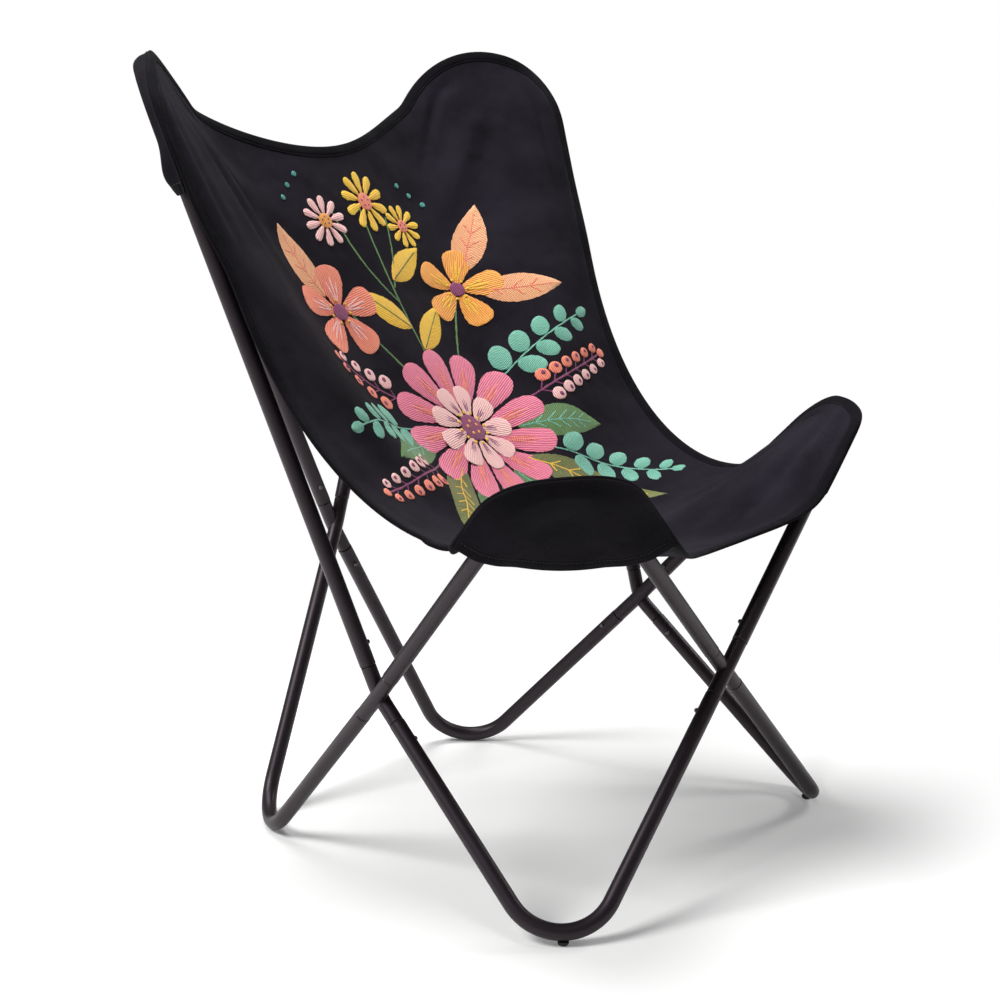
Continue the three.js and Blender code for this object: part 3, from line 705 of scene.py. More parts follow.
def cornerOutline(corner):   # the cloth's edge round one hoop, from its side leg to its end leg
    line, name, count = corner["hoop"], corner["name"], sling["legSteps"]
    inner = line["chord"].cross(line["rise"]).normalized()
    if inner.dot(place(*sling["seat"]) - line["centre"]) < 0:
        inner.negate()
    sideReach, endReach = (r * mm for r in sling["reach"][name])
    sideLeg, endLeg = line["legs"]
    first, last = line["angles"]

    def onLeg(leg, where, down):
        return leg["touch"] + leg["out"] * marginAt(corner, where) + leg["down"] * down

    flat = [onLeg(sideLeg, -1, sideReach * (1 - k / count)) for k in range(count)]
    wheres = [-1] * count
    for k in range(sling["hoopSteps"] + 1):
        angle = first + (last - first) * k / sling["hoopSteps"]
        wheres.append(-angle / first if angle < 0 else angle / last)
        flat.append(onArc(line, angle, marginAt(corner, wheres[-1])))
    flat += [onLeg(endLeg, 1, endReach * k / count) for k in range(1, count + 1)]
    wheres += [1] * count
    lifts = [sling["lifts"][name][w > 0] * mm * abs(w) ** sling["liftBlend"] for w in wheres]
    rim = [p + inner * (sling["clothAbove"] + lift) for p, lift in zip(flat, lifts)]
    tip = max(range(len(rim)), key=lambda k: flat[k].dot(line["rise"]))
    corner.update(inner=inner, flat=flat, rim=rim, sidePart=rim[:tip + 1], endPart=rim[tip:])


def bezier(a, b, c, d, steps):
    run = []
    for k in range(steps + 1):
        t = k / steps
        run.append(a * (1 - t) ** 3 + b * 3 * t * (1 - t) ** 2 + c * 3 * t * t * (1 - t) + d * t ** 3)
    return run


def sideEdge(back, front):   # from the back pocket down to the dip and up to the front pocket
    down = back["hoop"]["legs"][0]["down"]
    top, end = back["rim"][0], front["rim"][0]
    start = top + down * sling["edgeRun"] * mm
    x, y, z = sling["sideDip"][back["side"]]
    dip = place(back["mirror"] * x, y, z)
    leave, arrive = (h * mm for h in sling["sideHandles"])
    sag = sling["frontSag"][back["side"]] * mm
    count = sling["straightSteps"]
    straight = [top.lerp(start, k / count) for k in range(1, count)]
    fall = bezier(start, start + down * leave, dip + Vector((0, arrive, 0)), dip, sling["fallSteps"])
    rise = end + front["hoop"]["legs"][0]["down"] * sag
    climb = bezier(dip, dip - Vector((0, sag, 0)), rise, end, sling["climbSteps"])
    return straight + fall + climb[1:-1]


def endEdge(left, right, leaves):   # across the front or the back, by way of its dip
    dip = place(*sling["endDip"][left["end"]])
    leave, level = (h * mm for h in sling["endHandles"][left["end"]])
    a, d = left["rim"][-1], right["rim"][-1]
    first = bezier(a, a + leaves[0] * leave, dip - rightward * level, dip, sling["endSteps"])
    second = bezier(dip, dip + rightward * level, d + leaves[1] * leave, d, sling["endSteps"])
    return left["endPart"] + first[1:] + second[1:-1] + right["endPart"][::-1]


def resample(points, count):   # evenly spaced along the run
    lengths = [0.0]
    for a, b in zip(points, points[1:]):
        lengths.append(lengths[-1] + (b - a).length)
    made, k = [], 0
    for step in range(count + 1):
        want = lengths[-1] * step / count
        while k < len(points) - 2 and lengths[k + 1] < want:
            k += 1
        span = lengths[k + 1] - lengths[k]
        made.append(points[k].lerp(points[k + 1], (want - lengths[k]) / span if span else 0))
    return made


def slingEdges():   # the four runs of the outline, each from the tip of one hoop to the tip of the next
    for corner in corners:
        cornerOutline(corner)
    backLeft, backRight, frontLeft, frontRight = corners
    runs = {}
    for back, front in ((backLeft, frontLeft), (backRight, frontRight)):
        runs[back["side"]] = front["sidePart"][::-1] + sideEdge(back, front)[::-1] + back["sidePart"]
    backLeaves = [Vector((way, 0, -sling["backSlope"])).normalized() for way in (1, -1)]
    runs["back"] = endEdge(backLeft, backRight, backLeaves)
    frontLeaves = [corner["hoop"]["legs"][1]["down"] for corner in (frontLeft, frontRight)]
    runs["front"] = endEdge(frontLeft, frontRight, frontLeaves)
    return runs


def hangingShape(runs):   # a net of the hung cloth: straight in plan, a power curve in height
    seat = place(*sling["seat"])
    outline = runs["front"][:-1] + runs["right"][:-1] + runs["back"][::-1][:-1] + runs["left"][::-1][:-1]
    verts, faces = [seat], []
    rings, count = sling["rings"], len(outline)
    for edge in outline:
        for k in range(1, rings + 1):
            share = k / rings
            point = seat.lerp(edge, share)
            point.z = seat.z + (edge.z - seat.z) * share ** sling["curve"]
            verts.append(point)
    for i in range(count):
        a, b = 1 + i * rings, 1 + (i + 1) % count * rings
        faces.append((0, a, b))
        for k in range(rings - 1):
            faces.append((a + k, a + k + 1, b + k + 1, b + k))
    return BVHTree.FromPolygons(verts, faces)


def crease(point):   # how far the cloth stands out along the creases
    move = Vector((0, 0, 0))
    for corner in corners:
        line = corner["hoop"]
        out = point - onArc(line, 0)
        if out.length > creases["to"]:
            continue
        angle = math.degrees(math.atan2(out.dot(line["chord"]), -out.dot(line["rise"])))
        window = smooth((out.length - creases["from"]) / creases["grow"])
        window *= smooth((creases["to"] - out.length) / creases["fade"])
        for at, width, height in creases[corner["name"]]:
            move += corner["inner"] * height * mm * window * math.exp(-((angle - at) / width) ** 2)
    return move


def outsideTube(line, point):   # outside its axis, down a leg, where round the hoop, the way out
    out = point - line["centre"]
    angle = math.atan2(out.dot(line["chord"]), out.dot(line["rise"]))
    first, last = line["angles"]
    if first <= angle <= last:
        reach = math.hypot(out.dot(line["chord"]), out.dot(line["rise"]))
        where = -angle / first if angle < 0 else angle / last
        return reach - line["radius"], 0, where, outward(line, angle)
    leg = line["legs"][0 if angle < first else 1]
    past = point - leg["touch"]
    return past.dot(leg["out"]), past.dot(leg["down"]), -2 if angle < first else 2, leg["out"]


def gripAt(corner, down, where):   # how closely the cloth follows the tube, less below the pocket
    reach = sling["reach"][corner["name"]][1 if where > 0 else 0] * mm
    return 1 - smooth((down - reach) / sling["letGo"])


def curlAt(corner, outside, down, where):   # how far the cloth drops on its way to the seam
    over = min(sling["curlOver"], marginAt(corner, where) - sling["curlFrom"])
    hold = gripAt(corner, down, where)
    if corner["end"] == "back":   # from its tip on the back edge lies flat
        hold *= smooth(-where / sling["backCurl"])
    elif corner["side"] == "right":   # this one lies flat as far as its tip
        hold *= smooth(where / sling["frontCurl"])
    return (sling["clothAbove"] - sling["seam"]) * hold * smooth((outside - sling["curlFrom"]) / over)


def curl(point):   # the cloth bends over each hoop to the seam and tucks in along the tube
    move = Vector((0, 0, 0))
    for corner in corners:
        line = corner["hoop"]
        height = (point - line["centre"]).dot(corner["inner"])
        if abs(height) > sling["curlNear"]:
            continue
        outside, down, where, out = outsideTube(line, point)
        drop = curlAt(corner, outside, down, where)
        tuck = math.exp(-((outside + sling["grooveAt"]) / sling["grooveWidth"]) ** 2)
        if corner["end"] == "back":   # no tuck round the tip
            tuck *= smooth((abs(where) - sling["backTuck"]) / (1 - sling["backTuck"]))
        drop += sling["grooveDepth"] * tuck * gripAt(corner, down, where)
        away = math.hypot(outside, height - drop)
        if 0 < away < sling["clear"]:   # never into the tube
            move += (out * outside + corner["inner"] * (height - drop)) * (sling["clear"] / away - 1)
        move -= corner["inner"] * drop
    return move


def relax(bm, verts, times):
    for _ in range(times):
        bmesh.ops.smooth_vert(bm, verts=verts, factor=0.5, use_axis_x=True, use_axis_y=True,
                              use_axis_z=True)


def layCloth(bm, runs):   # a grid spanned between the four runs and dropped on the hanging shape
    net = hangingShape(runs)
    nu, nv = sling["across"], sling["along"]
    front, back = resample(runs["front"], nu), resample(runs["back"], nu)
    left, right = resample(runs["left"], nv), resample(runs["right"], nv)
    for vert in bmesh.ops.create_grid(bm, x_segments=nu, y_segments=nv, size=1)["verts"]:
        u, v = (vert.co.x + 1) / 2, (vert.co.y + 1) / 2
        i, j = round(u * nu), round(v * nv)
        flat = front[i] * (1 - v) + back[i] * v + left[j] * (1 - u) + right[j] * u
        flat -= left[0] * (1 - u) * (1 - v) + right[0] * u * (1 - v)
        flat -= left[nv] * (1 - u) * v + right[nv] * u * v
        hit = None if vert.is_boundary else net.ray_cast(Vector((flat.x, flat.y, overhead)), -up)[0]
        vert.co = hit or flat


def buildSling(canvas):
    bm = bmesh.new()
    weave = bm.loops.layers.uv.new("weave")
    layCloth(bm, slingEdges())
    inner = [v for v in bm.verts if not v.is_boundary]
    before, after = sling["smoothing"]
    relax(bm, inner, before)
    for vert in inner:
        vert.co += crease(vert.co)
    relax(bm, inner, after)
    layUv(bm.faces, weave, lambda vert: (vert.co.x, (vert.co.y + vert.co.z) * sling["weaveLean"]))
    faceOut(bm, up)
    piece = finishMesh("sling_canvas", bm)
    refine(piece)
    bakeModifiers(piece)
    bm = bmesh.new()
    bm.from_mesh(piece.data)
    for vert in bm.verts:
        vert.co += curl(vert.co)
    bm.normal_update()
    area = sum(f.calc_area() for f in bm.faces)
    surface = BVHTree.FromBMesh(bm)
    frames = edgeFrames(bm)
    bm.to_mesh(piece.data)
    bm.free()
    thicken(piece, sling["thickness"])
    dress(piece, canvas, 60, ["sling"])
    print("sling made, area", round(area, 3))
    return piece, surface, frames, area


def edgeFrames(bm):   # round the edge: the point, the way in along the cloth and the way up
    start = next(v for v in bm.verts if v.is_boundary)
    loop, before = [start], None
    while True:
        edge = next(e for e in loop[-1].link_edges if e.is_boundary and e is not before)
        nextVert = edge.other_vert(loop[-1])
        if nextVert is start:
            break
        loop.append(nextVert)
        before = edge
    frames = []
    for k, vert in enumerate(loop):
        along = (loop[(k + 1) % len(loop)].co - loop[k - 1].co).normalized()
        normal = sum((f.normal for f in vert.link_faces), Vector())
        normal = (normal - along * normal.dot(along)).normalized()
        inward = along.cross(normal)
        middle = sum((f.calc_center_median() for f in vert.link_faces), Vector()) / len(vert.link_faces)
        if inward.dot(middle - vert.co) < 0:
            inward.negate()
        frames.append((vert.co.copy(), inward.normalized(), normal))
    return frames


# hems and their stitching

hem = {   # bands across the fold: the reach from the edge in mm and the share of the thickness
    "bands": [(-0.8, 0.5), (0.4, 0.95), (3.5, 1.0), (7.0, 1.0), (9.6, 0.95), (11.2, 0.45), (12.4, 0.8),
              (13.6, 0.4)],
    "edgeThickness": 5 * mm, "mouthThickness": 3.2 * mm, "stitchAt": 11.2 * mm, "stitchPitch": 3.8 * mm,
    "stitchSize": (1.45 * mm, 0.5 * mm, 0.5 * mm), "stitchLift": 0.22,   # share of the thickness
}
shadedHemCanvas = cottonCanvas("cottonCanvasFoldedShaded", "#060508", "#110e14")   # two layers pressed flat, the canvas darkened as painted shade
# black thread, darker than the canvas as painted shade along the hem's step
shadedHemThread = stitchThread("hemThreadBlackShaded", "#060607", "#131216")


def towardSide(facing, normal):
    return facing if facing.dot(normal) > 0 else -facing


def hemPoint(surface, at, inward, normal, reach):   # a point of the hem and the way up there
    point = at + inward * reach
    if reach <= 0:
        return point, normal
    hit, facing = surface.find_nearest(point)[:2]
    return hit, towardSide(facing, normal)


def hemBand(name, frames, surface, closed, thickness, canvas):   # a folded strip that follows the cloth
    bm = bmesh.new()
    weave = bm.loops.layers.uv.new("weave")
    deform = bm.verts.layers.deform.new()
    places, rows = {}, []
    for reach, share in hem["bands"]:
        row = [bm.verts.new(hemPoint(surface, *edge, reach * mm)[0]) for edge in frames]
        run = 0.0
        for k, vert in enumerate(row):
            vert[deform][0] = share
            places[vert] = (run, reach * mm)
            run += (frames[(k + 1) % len(frames)][0] - frames[k][0]).length
        rows.append(row)
    for outer, inner in zip(rows, rows[1:]):
        pairs = list(zip(outer, inner))
        for (a, b), (c, d) in zip(pairs, pairs[1:] + (pairs[:1] if closed else [])):
            bm.faces.new((a, b, d, c))
    layUv(bm.faces, weave, places.get)
    faceOut(bm)
    piece = finishMesh(name, bm)
    piece.vertex_groups.new(name="fold")
    thicken(piece, thickness, group="fold")
    refine(piece)
    return dress(piece, canvas, 80)


def stitchRun(rail):   # one stitch repeated along a rail
    bm = bmesh.new()
    lay = bm.loops.layers.uv.new("stitch")
    size = Matrix.Diagonal((*hem["stitchSize"], 1))
    bmesh.ops.create_uvsphere(bm, u_segments=6, v_segments=4, radius=1, matrix=size)
    layUv(bm.faces, lay, lambda vert: (vert.co.x, vert.co.z))
    piece = finishMesh("stitch", bm)
    curve = bpy.data.curves.new("rail", "CURVE")
    curve.dimensions = "3D"
    spline = curve.splines.new("POLY")
    spline.points.add(len(rail) - 1)
    for point, at in zip(spline.points, rail):
        point.co = (*at, 1)
    path = addObject("rail", curve)
    total = sum((b - a).length for a, b in zip(rail, rail[1:]))
    row = piece.modifiers.new("row", "ARRAY")
    row.count = int(total / hem["stitchPitch"])
    row.use_relative_offset = False
    row.use_constant_offset = True
    row.constant_offset_displace = (total / row.count, 0, 0)
    bend = piece.modifiers.new("bend", "CURVE")
    bend.object = path
    bend.deform_axis = "POS_X"
    bakeModifiers(piece)
    bpy.data.objects.remove(path)
    return piece


def hemStitches(name, frames, surface, thickness, thread):   # lockstitch on both faces of a hem
    bm = bmesh.new()
    rail = [hemPoint(surface, *edge, hem["stitchAt"]) for edge in frames]
    for face in (1, -1):
        run = stitchRun([at + facing * thickness * hem["stitchLift"] * face for at, facing in rail])
        bm.from_mesh(run.data)
        bpy.data.objects.remove(run)
    return dress(finishMesh(name, bm), thread, 80)


def sewHem(name, frames, surface, thickness, closed=False):   # the fold and its stitching
    band = hemBand(name + "_hem", frames, surface, closed, thickness, shadedHemCanvas)
    rail = frames + frames[:1] if closed else frames
    return [band, hemStitches(name + "_stitching", rail, surface, thickness, shadedHemThread)]


# corner pockets

pocket = {   # the back layer of each corner: sewn to the edge, down to a hemmed mouth
    "seamWidth": 6 * mm, "droop": 30 * mm, "below": 10.4 * mm, "underSeam": 1.0 * mm, "liftRun": 20 * mm,
    "hollow": 4 * mm, "hollowFrom": 12 * mm, "hollowRun": 30 * mm, "clear": 10.3 * mm,
    "inset": 3 * mm, "insetPower": 6, "bulge": 7 * mm, "bulgeRun": 62 * mm, "bulgeAt": 0.6,
    "rows": [0, 2, 4, 6, 8.5, 11, 14, 17, 20.5, 24, 28, 33], "strips": 14, "columns": 44,
    "thickness": 1.5 * mm, "wrap": 0.06, "roundCut": 1.25,
}


def onPocket(corner, point, lift):   # round the tube from the seam, a little hollow between the legs
    outside, down, where, out = outsideTube(corner["hoop"], point)
    margin = marginAt(corner, where)
    seam = smooth((outside - sling["curlFrom"]) / (margin - sling["curlFrom"]))
    inside = smooth((-outside - pocket["hollowFrom"]) / pocket["hollowRun"])
    top = sling["clothAbove"] - curlAt(corner, margin, down, where) - sling["seam"] - pocket["underSeam"]
    height = -pocket["below"] + (pocket["below"] + top) * seam + pocket["hollow"] * inside + lift
    away = math.hypot(outside, height)
    push = pocket["clear"] / away if 0 < away < pocket["clear"] else 1
    height *= push
    if corner["end"] == "back" and where == -2:   # slack above the mouth, close again at its end
        share = (down - sling["reach"][corner["name"]][0] * mm) / pocket["bulgeRun"] + 1
        peak = pocket["bulgeAt"]
        slack = smooth(share / peak) * (1 - smooth((share - peak) / (1 - peak)))
        height -= pocket["bulge"] * slack * (1 - seam)
    return point + out * outside * (push - 1) + corner["inner"] * height


def buildPocket(corner, canvas):
    inner, line = corner["inner"], corner["hoop"]
    count, fixed = pocket["columns"], len(pocket["rows"])
    rows = fixed + pocket["strips"]
    flat, rim = resample(corner["flat"], count), resample(corner["rim"], count)
    mouthLine = (flat[-1] - flat[0]).normalized() * pocket["seamWidth"]
    mouthStart, mouthEnd = flat[0] + mouthLine, flat[-1] - mouthLine
    bm = bmesh.new()
    grid = bmesh.ops.create_grid(bm, x_segments=count, y_segments=rows - 1, size=1)["verts"]
    weave = bm.loops.layers.uv.new("weave")
    for vert in grid:
        i, j = round((vert.co.x + 1) / 2 * count), round((vert.co.y + 1) / 2 * (rows - 1))
        droop = line["rise"] * pocket["droop"] * math.sin(math.pi * i / count)
        mouth = mouthStart.lerp(mouthEnd, i / count) - droop
        length = (mouth - flat[i]).length
        reach = min(pocket["rows"][min(j, fixed - 1)] * mm, length * (j + 1) / rows)
        if j >= fixed:
            reach += (length - reach) * (j - fixed + 1) / pocket["strips"]
        inset = pocket["inset"] * (2 * i / count - 1) ** pocket["insetPower"]   # tucks the ends in
        point = flat[i].lerp(mouth, (reach + inset * (1 - reach / length)) / length)
        lift = (rim[i] - flat[i]).dot(inner) - sling["clothAbove"]
        vert.co = onPocket(corner, point, lift * (1 - smooth(reach / pocket["liftRun"])))
    axes = line["chord"], line["rise"]
    layUv(bm.faces, weave, lambda vert: [(vert.co - line["centre"]).dot(axis) for axis in axes])
    faceOut(bm, -inner)
    bm.verts.ensure_lookup_table()
    mouthRow = bm.verts[(rows - 1) * (count + 1):]
    area = sum(f.calc_area() for f in bm.faces)
    surface = BVHTree.FromBMesh(bm)
    frames = []
    for k, vert in enumerate(mouthRow):
        along = (mouthRow[min(k + 1, count)].co - mouthRow[max(k - 1, 0)].co).normalized()
        inward = towardSide(along.cross(inner).normalized(), line["rise"])
        frames.append((vert.co.copy(), inward, -inner))
    node = "pocket_" + corner["name"]
    piece = finishMesh(node + "_canvas", bm)
    refine(piece)
    thicken(piece, pocket["thickness"])
    dress(piece, canvas, 60, [node])
    mouthHem = sewHem(node, frames, surface, hem["mouthThickness"])
    return piece, mouthHem, area, (flat[-1] - flat[0]).length + pocket["wrap"]


# embroidery: a free folk design of rosette, blossoms, daisies, sprigs and leaves

threadColours = {   # stranded cotton, shaded side and lit side
    "rosePink": ("#b9486c", "#f2869f"), "coral": ("#cf5c48", "#f79472"), "palePink": ("#d9989a", "#f9cfc8"),
    "magenta": ("#5a0f3a", "#94286a"), "yellow": ("#cf9408", "#fbd32f"), "orange": ("#cd7a1c", "#f9ad4b"),
    "peach": ("#cf8558", "#f6b988"), "olive": ("#3f4511", "#7a8135"), "green": ("#2f5524", "#639048"),
    "mint": ("#3d8a75", "#86c9b1"), "teal": ("#17665f", "#3aa196"),
}
embroidery = {
    "bare": 0.9 * mm, "layer": 0.5 * mm, "puff": 0.9 * mm, "body": 0.6 * mm, "castFrom": 0.3,
    "stem": 2.6 * mm, "vein": 1.7 * mm, "knot": 2.4 * mm, "leastWidth": 0.5 * mm,
    "stitch": 1.9 * mm, "leastSteps": 8, "mostSteps": 90, "ragged": 0.45 * mm, "raggedShare": 0.15,
    "slant": 0.8, "castSpots": 200, "castSpan": (-0.27, 0.54), "lineSteps": 160,
}
hand = random.Random(11)
threadWork = {}
cloth = {}


def readCloth(surface):   # the middle line of the sling, evenly spaced, and where its lowest point is
    start, span = embroidery["castSpan"]
    spots = [start + span * k / (embroidery["castSpots"] - 1) for k in range(embroidery["castSpots"])]
    hits = [surface.ray_cast(Vector((0, y, overhead)), -up)[0] for y in spots]
    line = resample([hit for hit in hits if hit], embroidery["lineSteps"])
    seat = min(range(len(line)), key=lambda k: line[k].z)
    cloth.update(line=line, step=(line[1] - line[0]).length, seat=seat, surface=surface)


def onCloth(spot):   # a spot of the design, across and up from the seat, on the cloth
    k = cloth["seat"] + spot.y / cloth["step"]
    i = min(max(math.floor(k), 0), len(cloth["line"]) - 2)
    a, b = cloth["line"][i], cloth["line"][i + 1]
    normal = rightward.cross((b - a).normalized())
    start = a.lerp(b, k - i) + rightward * spot.x + normal * embroidery["castFrom"]
    hit, facing = cloth["surface"].ray_cast(start, -normal)[:2]
    return hit, towardSide(facing, normal)


def around(spot, angle, reach):
    return spot + Vector((math.sin(angle), math.cos(angle))) * reach


def curved(start, angle, length, bend=0.0):   # a spine from a spot at an angle, curving to one side
    ahead = Vector((math.sin(angle), math.cos(angle)))
    aside = Vector((ahead.y, -ahead.x))
    return lambda t: start + ahead * length * t + aside * bend * t * t


def bearing(spine, at):   # the way a spine runs at a share of its length
    ahead = spine(at + 0.03) - spine(at)
    return math.atan2(ahead.x, ahead.y)


def leafShape(width):
    return lambda t: width * math.sin(math.pi * t ** 0.85) ** 0.9


def petalShape(width):
    return lambda t: width * t ** 0.6 * max(1 - t ** 5, 0) ** 0.5


def ovalShape(width):
    return lambda t: width * max(1 - (2 * t - 1) ** 2, 0) ** 0.5


def evenShape(width):
    return lambda t: width


def satin(colour, spine, widthAt, layer=0, lay="slant", rows=4, plump=0.2):
    # a padded patch of satin stitch; its padding is a share of its width and its edge a little ragged
    bm = threadWork[colour]
    length = (spine(1) - spine(0)).length
    steps = max(round(length / embroidery["stitch"]), embroidery["leastSteps"])
    steps = min(steps, embroidery["mostSteps"])
    grid = bmesh.ops.create_grid(bm, x_segments=steps, y_segments=rows, size=1)["verts"]
    rise = embroidery["bare"] + embroidery["layer"] * layer
    places, shares = {}, {}
    for vert in grid:
        t, side = (vert.co.x + 1) / 2, vert.co.y
        t = (1 - math.cos(math.pi * t)) / 2   # closer steps at both ends
        ahead = (spine(min(t + 0.02, 1)) - spine(max(t - 0.02, 0))).normalized()
        width = max(widthAt(t), embroidery["leastWidth"])
        over = side * width / 2
        if abs(side) > 0.99:
            over += hand.uniform(-1, 1) * min(embroidery["ragged"], width * embroidery["raggedShare"])
        hit, facing = onCloth(spine(t) + Vector((-ahead.y, ahead.x)) * over)
        puff = min(embroidery["puff"], width * plump)
        vert.co = hit + facing * (rise + puff * (1 - side * side))
        slanted = t * length - abs(over) * embroidery["slant"]
        places[vert] = (slanted, over) if lay == "slant" else (over, t * length)
        shares[vert] = (t, abs(side))
    faces = {f for v in grid for f in v.link_faces}
    layUv(faces, bm.loops.layers.uv["stitch"], places.get)
    layUv(faces, bm.loops.layers.uv["reach"], shares.get)


def stem(colour, spine, layer=0, width=embroidery["stem"]):
    satin(colour, spine, evenShape(width), layer, "slant", 2)


def dot(colour, spot, radius, layer):   # a round of satin stitch
    spine = curved(spot - Vector((0, radius)), 0, 2 * radius)
    satin(colour, spine, ovalShape(2 * radius), layer, "along", 6, 0.3)


def knots(colour, spot, count, reach, layer, size=1.0):   # a ring of wound knots
    for k in range(count):
        dot(colour, around(spot, 2 * math.pi * k / count, reach), embroidery["knot"] * size, layer)


def ringOfPetals(colour, spot, count, inner, outer, width, layer, turn=0.0):
    for k in range(count):
        angle = 2 * math.pi * (k + turn) / count
        spine = curved(around(spot, angle, inner), angle, outer - inner)
        satin(colour, spine, petalShape(width), layer, "along", 8)


def ringOfStrokes(colour, spot, count, inner, outer, spread, layer, turn=0.0):   # three stitches to a petal
    for k in range(count):
        angle = 2 * math.pi * (k + turn) / count
        for side, share in ((-1, 0.82), (0, 1), (1, 0.82)):
            start = around(spot, angle + side * spread * 0.4, inner)
            spine = curved(start, angle + side * spread, (outer - inner) * share)
            satin(colour, spine, ovalShape(embroidery["vein"] * 1.3), layer, "slant", 2)


def rosette(spot, radius):   # two rings of petals round a knotted eye
    ringOfPetals("rosePink", spot, 12, radius * 0.3, radius, radius * 0.47, 1)
    ringOfStrokes("coral", spot, 12, radius * 0.46, radius * 0.84, 0.09, 3)
    ringOfPetals("palePink", spot, 9, radius * 0.14, radius * 0.55, radius * 0.34, 3.5, 0.5)
    ringOfStrokes("magenta", spot, 9, radius * 0.2, radius * 0.4, 0.12, 5, 0.5)
    dot("magenta", spot, radius * 0.17, 5)
    knots("yellow", spot, 12, radius * 0.2, 5.5)
    knots("orange", spot, 5, radius * 0.08, 6.5)


def blossom(spot, radius, petal, heart, eye, turn=0.0):   # five broad petals with strokes on them
    ringOfPetals(petal, spot, 5, radius * 0.1, radius, radius * 0.85, 1, turn)
    ringOfStrokes(heart, spot, 5, radius * 0.22, radius * 0.74, 0.24, 3, turn)
    dot(eye, spot, radius * 0.18, 3)
    knots("yellow", spot, 7, radius * 0.24, 3.5, 0.8)


def daisy(spot, radius, petal, eye, turn=0.0):
    ringOfPetals(petal, spot, 10, radius * 0.24, radius, radius * 0.42, 1, turn)
    dot(eye, spot, radius * 0.3, 2)
    knots("magenta", spot, 5, radius * 0.15, 3.5, 0.5)


def leaf(colour, vein, start, angle, length, width, bend=0.0, veins=5):   # with a midrib and side veins
    spine = curved(start, angle, length, bend)
    satin(colour, spine, leafShape(width), 0, "slant", 8)
    stem(vein, lambda t: spine(0.04 + 0.82 * t), 2, embroidery["vein"])
    for k in range(veins):
        at = 0.18 + 0.6 * k / veins
        run = width * 0.42 * math.sin(math.pi * at ** 0.85)
        for side in (1, -1):
            way = bearing(spine, at) + side * 0.7
            stem(vein, curved(spine(at), way, run), 1.8, embroidery["vein"])


def roundSprig(colour, start, angle, length, bend, count, size):   # a stem with round leaves by turns
    spine = curved(start, angle, length, bend)
    stem(colour, spine, 0, embroidery["stem"] * 0.8)
    for k in range(count):
        at = 0.2 + 0.78 * k / count
        way = bearing(spine, at) + (0.9 if k % 2 else -0.9)
        long = size * (1 - 0.4 * k / count)
        root = around(spine(at), way, long * 0.12)
        satin(colour, curved(root, way, long), ovalShape(long * 0.74), 0.3, "slant", 6)
    tip = curved(spine(0.98), bearing(spine, 0.9), size * 0.6)
    satin(colour, tip, ovalShape(size * 0.4), 0.3, "slant", 6)


def berrySprig(start, angle, length, bend, count, size):   # berries by twos and a hip at the end
    spine = curved(start, angle, length, bend)
    stem("magenta", spine)
    for k in range(count):
        at = 0.25 + 0.75 * k / count
        radius = size * (1 - 0.35 * k / count) / 2
        for side, colour in ((1, "palePink"), (-1, "coral")):
            way = bearing(spine, at) + side * 0.8
            stem("magenta", curved(spine(at), way, radius * 2.2), 0, embroidery["vein"])
            berry = around(spine(at), way, radius * 2.4)
            dot(colour, berry, radius, 0.6)
            dot("magenta", around(berry, way, radius * 0.3), embroidery["knot"] * radius / (7 * mm), 2)
    dot("coral", spine(1), size * 0.34, 0.6)


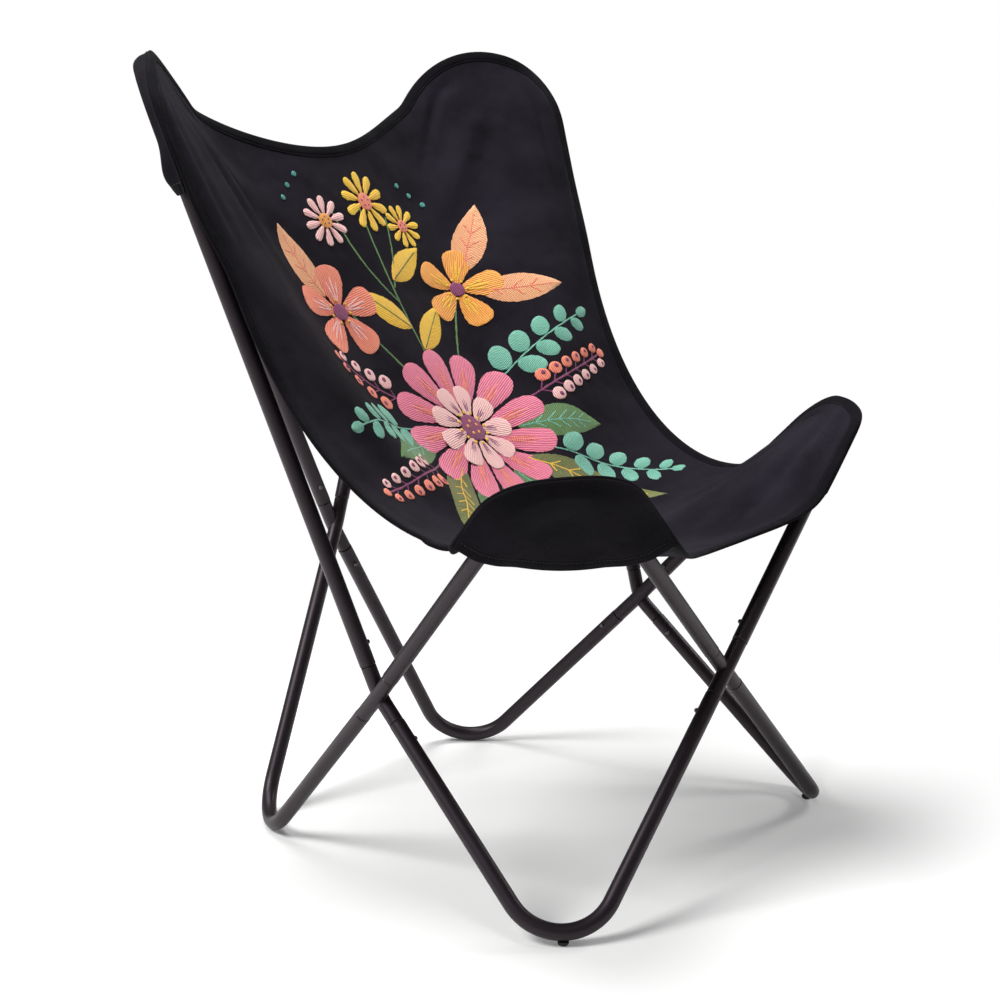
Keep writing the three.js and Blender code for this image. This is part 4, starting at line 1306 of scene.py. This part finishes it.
def stitchDesign():   # places across and up from the seat, in metres
    main, left, right = Vector((0.03, 0.222)), Vector((-0.085, 0.4)), Vector((0.135, 0.405))
    fan = ((104, 0.12, "green", 0.01), (141, 0.2, "olive", 0.01), (163, 0.17, "green", 0.004),
           (186, 0.17, "olive", 0), (209, 0.17, "green", -0.01), (232, 0.16, "olive", -0.02),
           (266, 0.13, "green", -0.02))
    for angle, long, colour, bend in fan:
        turn = math.radians(angle)
        vein = "mint" if colour == "green" else "yellow"
        leaf(colour, vein, around(main, turn, 0.07), turn, long, 0.048, bend)
    for angle, long, bend, count in ((60, 0.17, 0.03, 8), (126, 0.2, 0.02, 9), (-80, 0.16, -0.03, 8)):
        turn = math.radians(angle)
        roundSprig("mint", around(main, turn, 0.08), turn, long, bend, count, 0.036)
    for angle, long, bend, count in ((83, 0.17, -0.01, 6), (-58, 0.13, 0.01, 4), (249, 0.19, 0.02, 6)):
        turn = math.radians(angle)
        berrySprig(around(main, turn, 0.08), turn, long, bend, count, 0.019)
    stems = ((main, -32, 0.21, 0.01), (main, 28, 0.21, 0.006), (main, -4, 0.31, 0.012),
             (Vector((0.022, 0.4)), -40, 0.13, 0.04), (Vector((0.024, 0.42)), 35, 0.1, -0.02))
    for spot, angle, long, bend in stems:
        stem("green", curved(spot, math.radians(angle), long, bend))
    for spot, angle, bend in ((left, -28, 0.02), (right, 40, -0.01), (right, 112, -0.01)):
        turn = math.radians(angle)
        leaf("peach", "coral", around(spot, turn, 0.025), turn, 0.1, 0.04, bend, 3)
    for x, y, angle in ((0.026, 0.335, 50), (0.022, 0.365, -48), (0.028, 0.43, 62)):
        leaf("yellow", "olive", Vector((x, y)), math.radians(angle), 0.085, 0.034, 0, 0)
    rosette(main, 0.112)
    blossom(left, 0.062, "coral", "palePink", "magenta", 0.1)
    blossom(right, 0.056, "orange", "yellow", "magenta", 0.35)
    daisy(Vector((0.035, 0.535)), 0.04, "yellow", "coral")
    daisy(Vector((-0.048, 0.515)), 0.033, "palePink", "orange", 0.3)
    daisy(Vector((0.092, 0.5)), 0.03, "yellow", "coral", 0.5)
    seeds = ((-0.1, 0.55), (-0.085, 0.565), (-0.068, 0.578), (0.13, 0.54), (0.115, 0.555), (0.145, 0.525))
    for x, y in seeds:
        dot("teal", Vector((x, y)), embroidery["knot"] * 1.5, 1)


def embroider(surface):
    readCloth(surface)
    for colour in threadColours:
        threadWork[colour] = bmesh.new()
        threadWork[colour].loops.layers.uv.new("stitch")
        threadWork[colour].loops.layers.uv.new("reach")
    stitchDesign()
    pieces = []
    for colour, tonePair in threadColours.items():
        piece = finishMesh("embroidery_" + colour, threadWork[colour])
        thicken(piece, embroidery["body"], -1)
        pieces.append(dress(piece, stitchThread(colour + "Cotton", *tonePair), 60))
    print("embroidery made:", len(pieces), "threads")
    return pieces


layOutFrame()
addCamera()
addStudio()
print("studio set")

canvas = cottonCanvas("cottonCanvasBlack", "#0c0a0f", "#211d26")
shadedPocketCanvas = cottonCanvas("cottonCanvasPocketShaded", "#060508", "#151218")   # the same canvas darkened deep as painted shade
legs = buildFrame(powderCoat())
buildButtons(legs, blackenedSteel(), springSteel())
buildFeet(mouldedNylon())
slingPiece, slingSurface, slingEdge, slingArea = buildSling(canvas)
edgeHem = sewHem("sling_edge", slingEdge, slingSurface, hem["edgeThickness"], True)
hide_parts("edge_binding")
print("sling hem made")
threadPieces = embroider(slingSurface)
pockets = [buildPocket(corner, shadedPocketCanvas) for corner in corners]
print("pockets made")
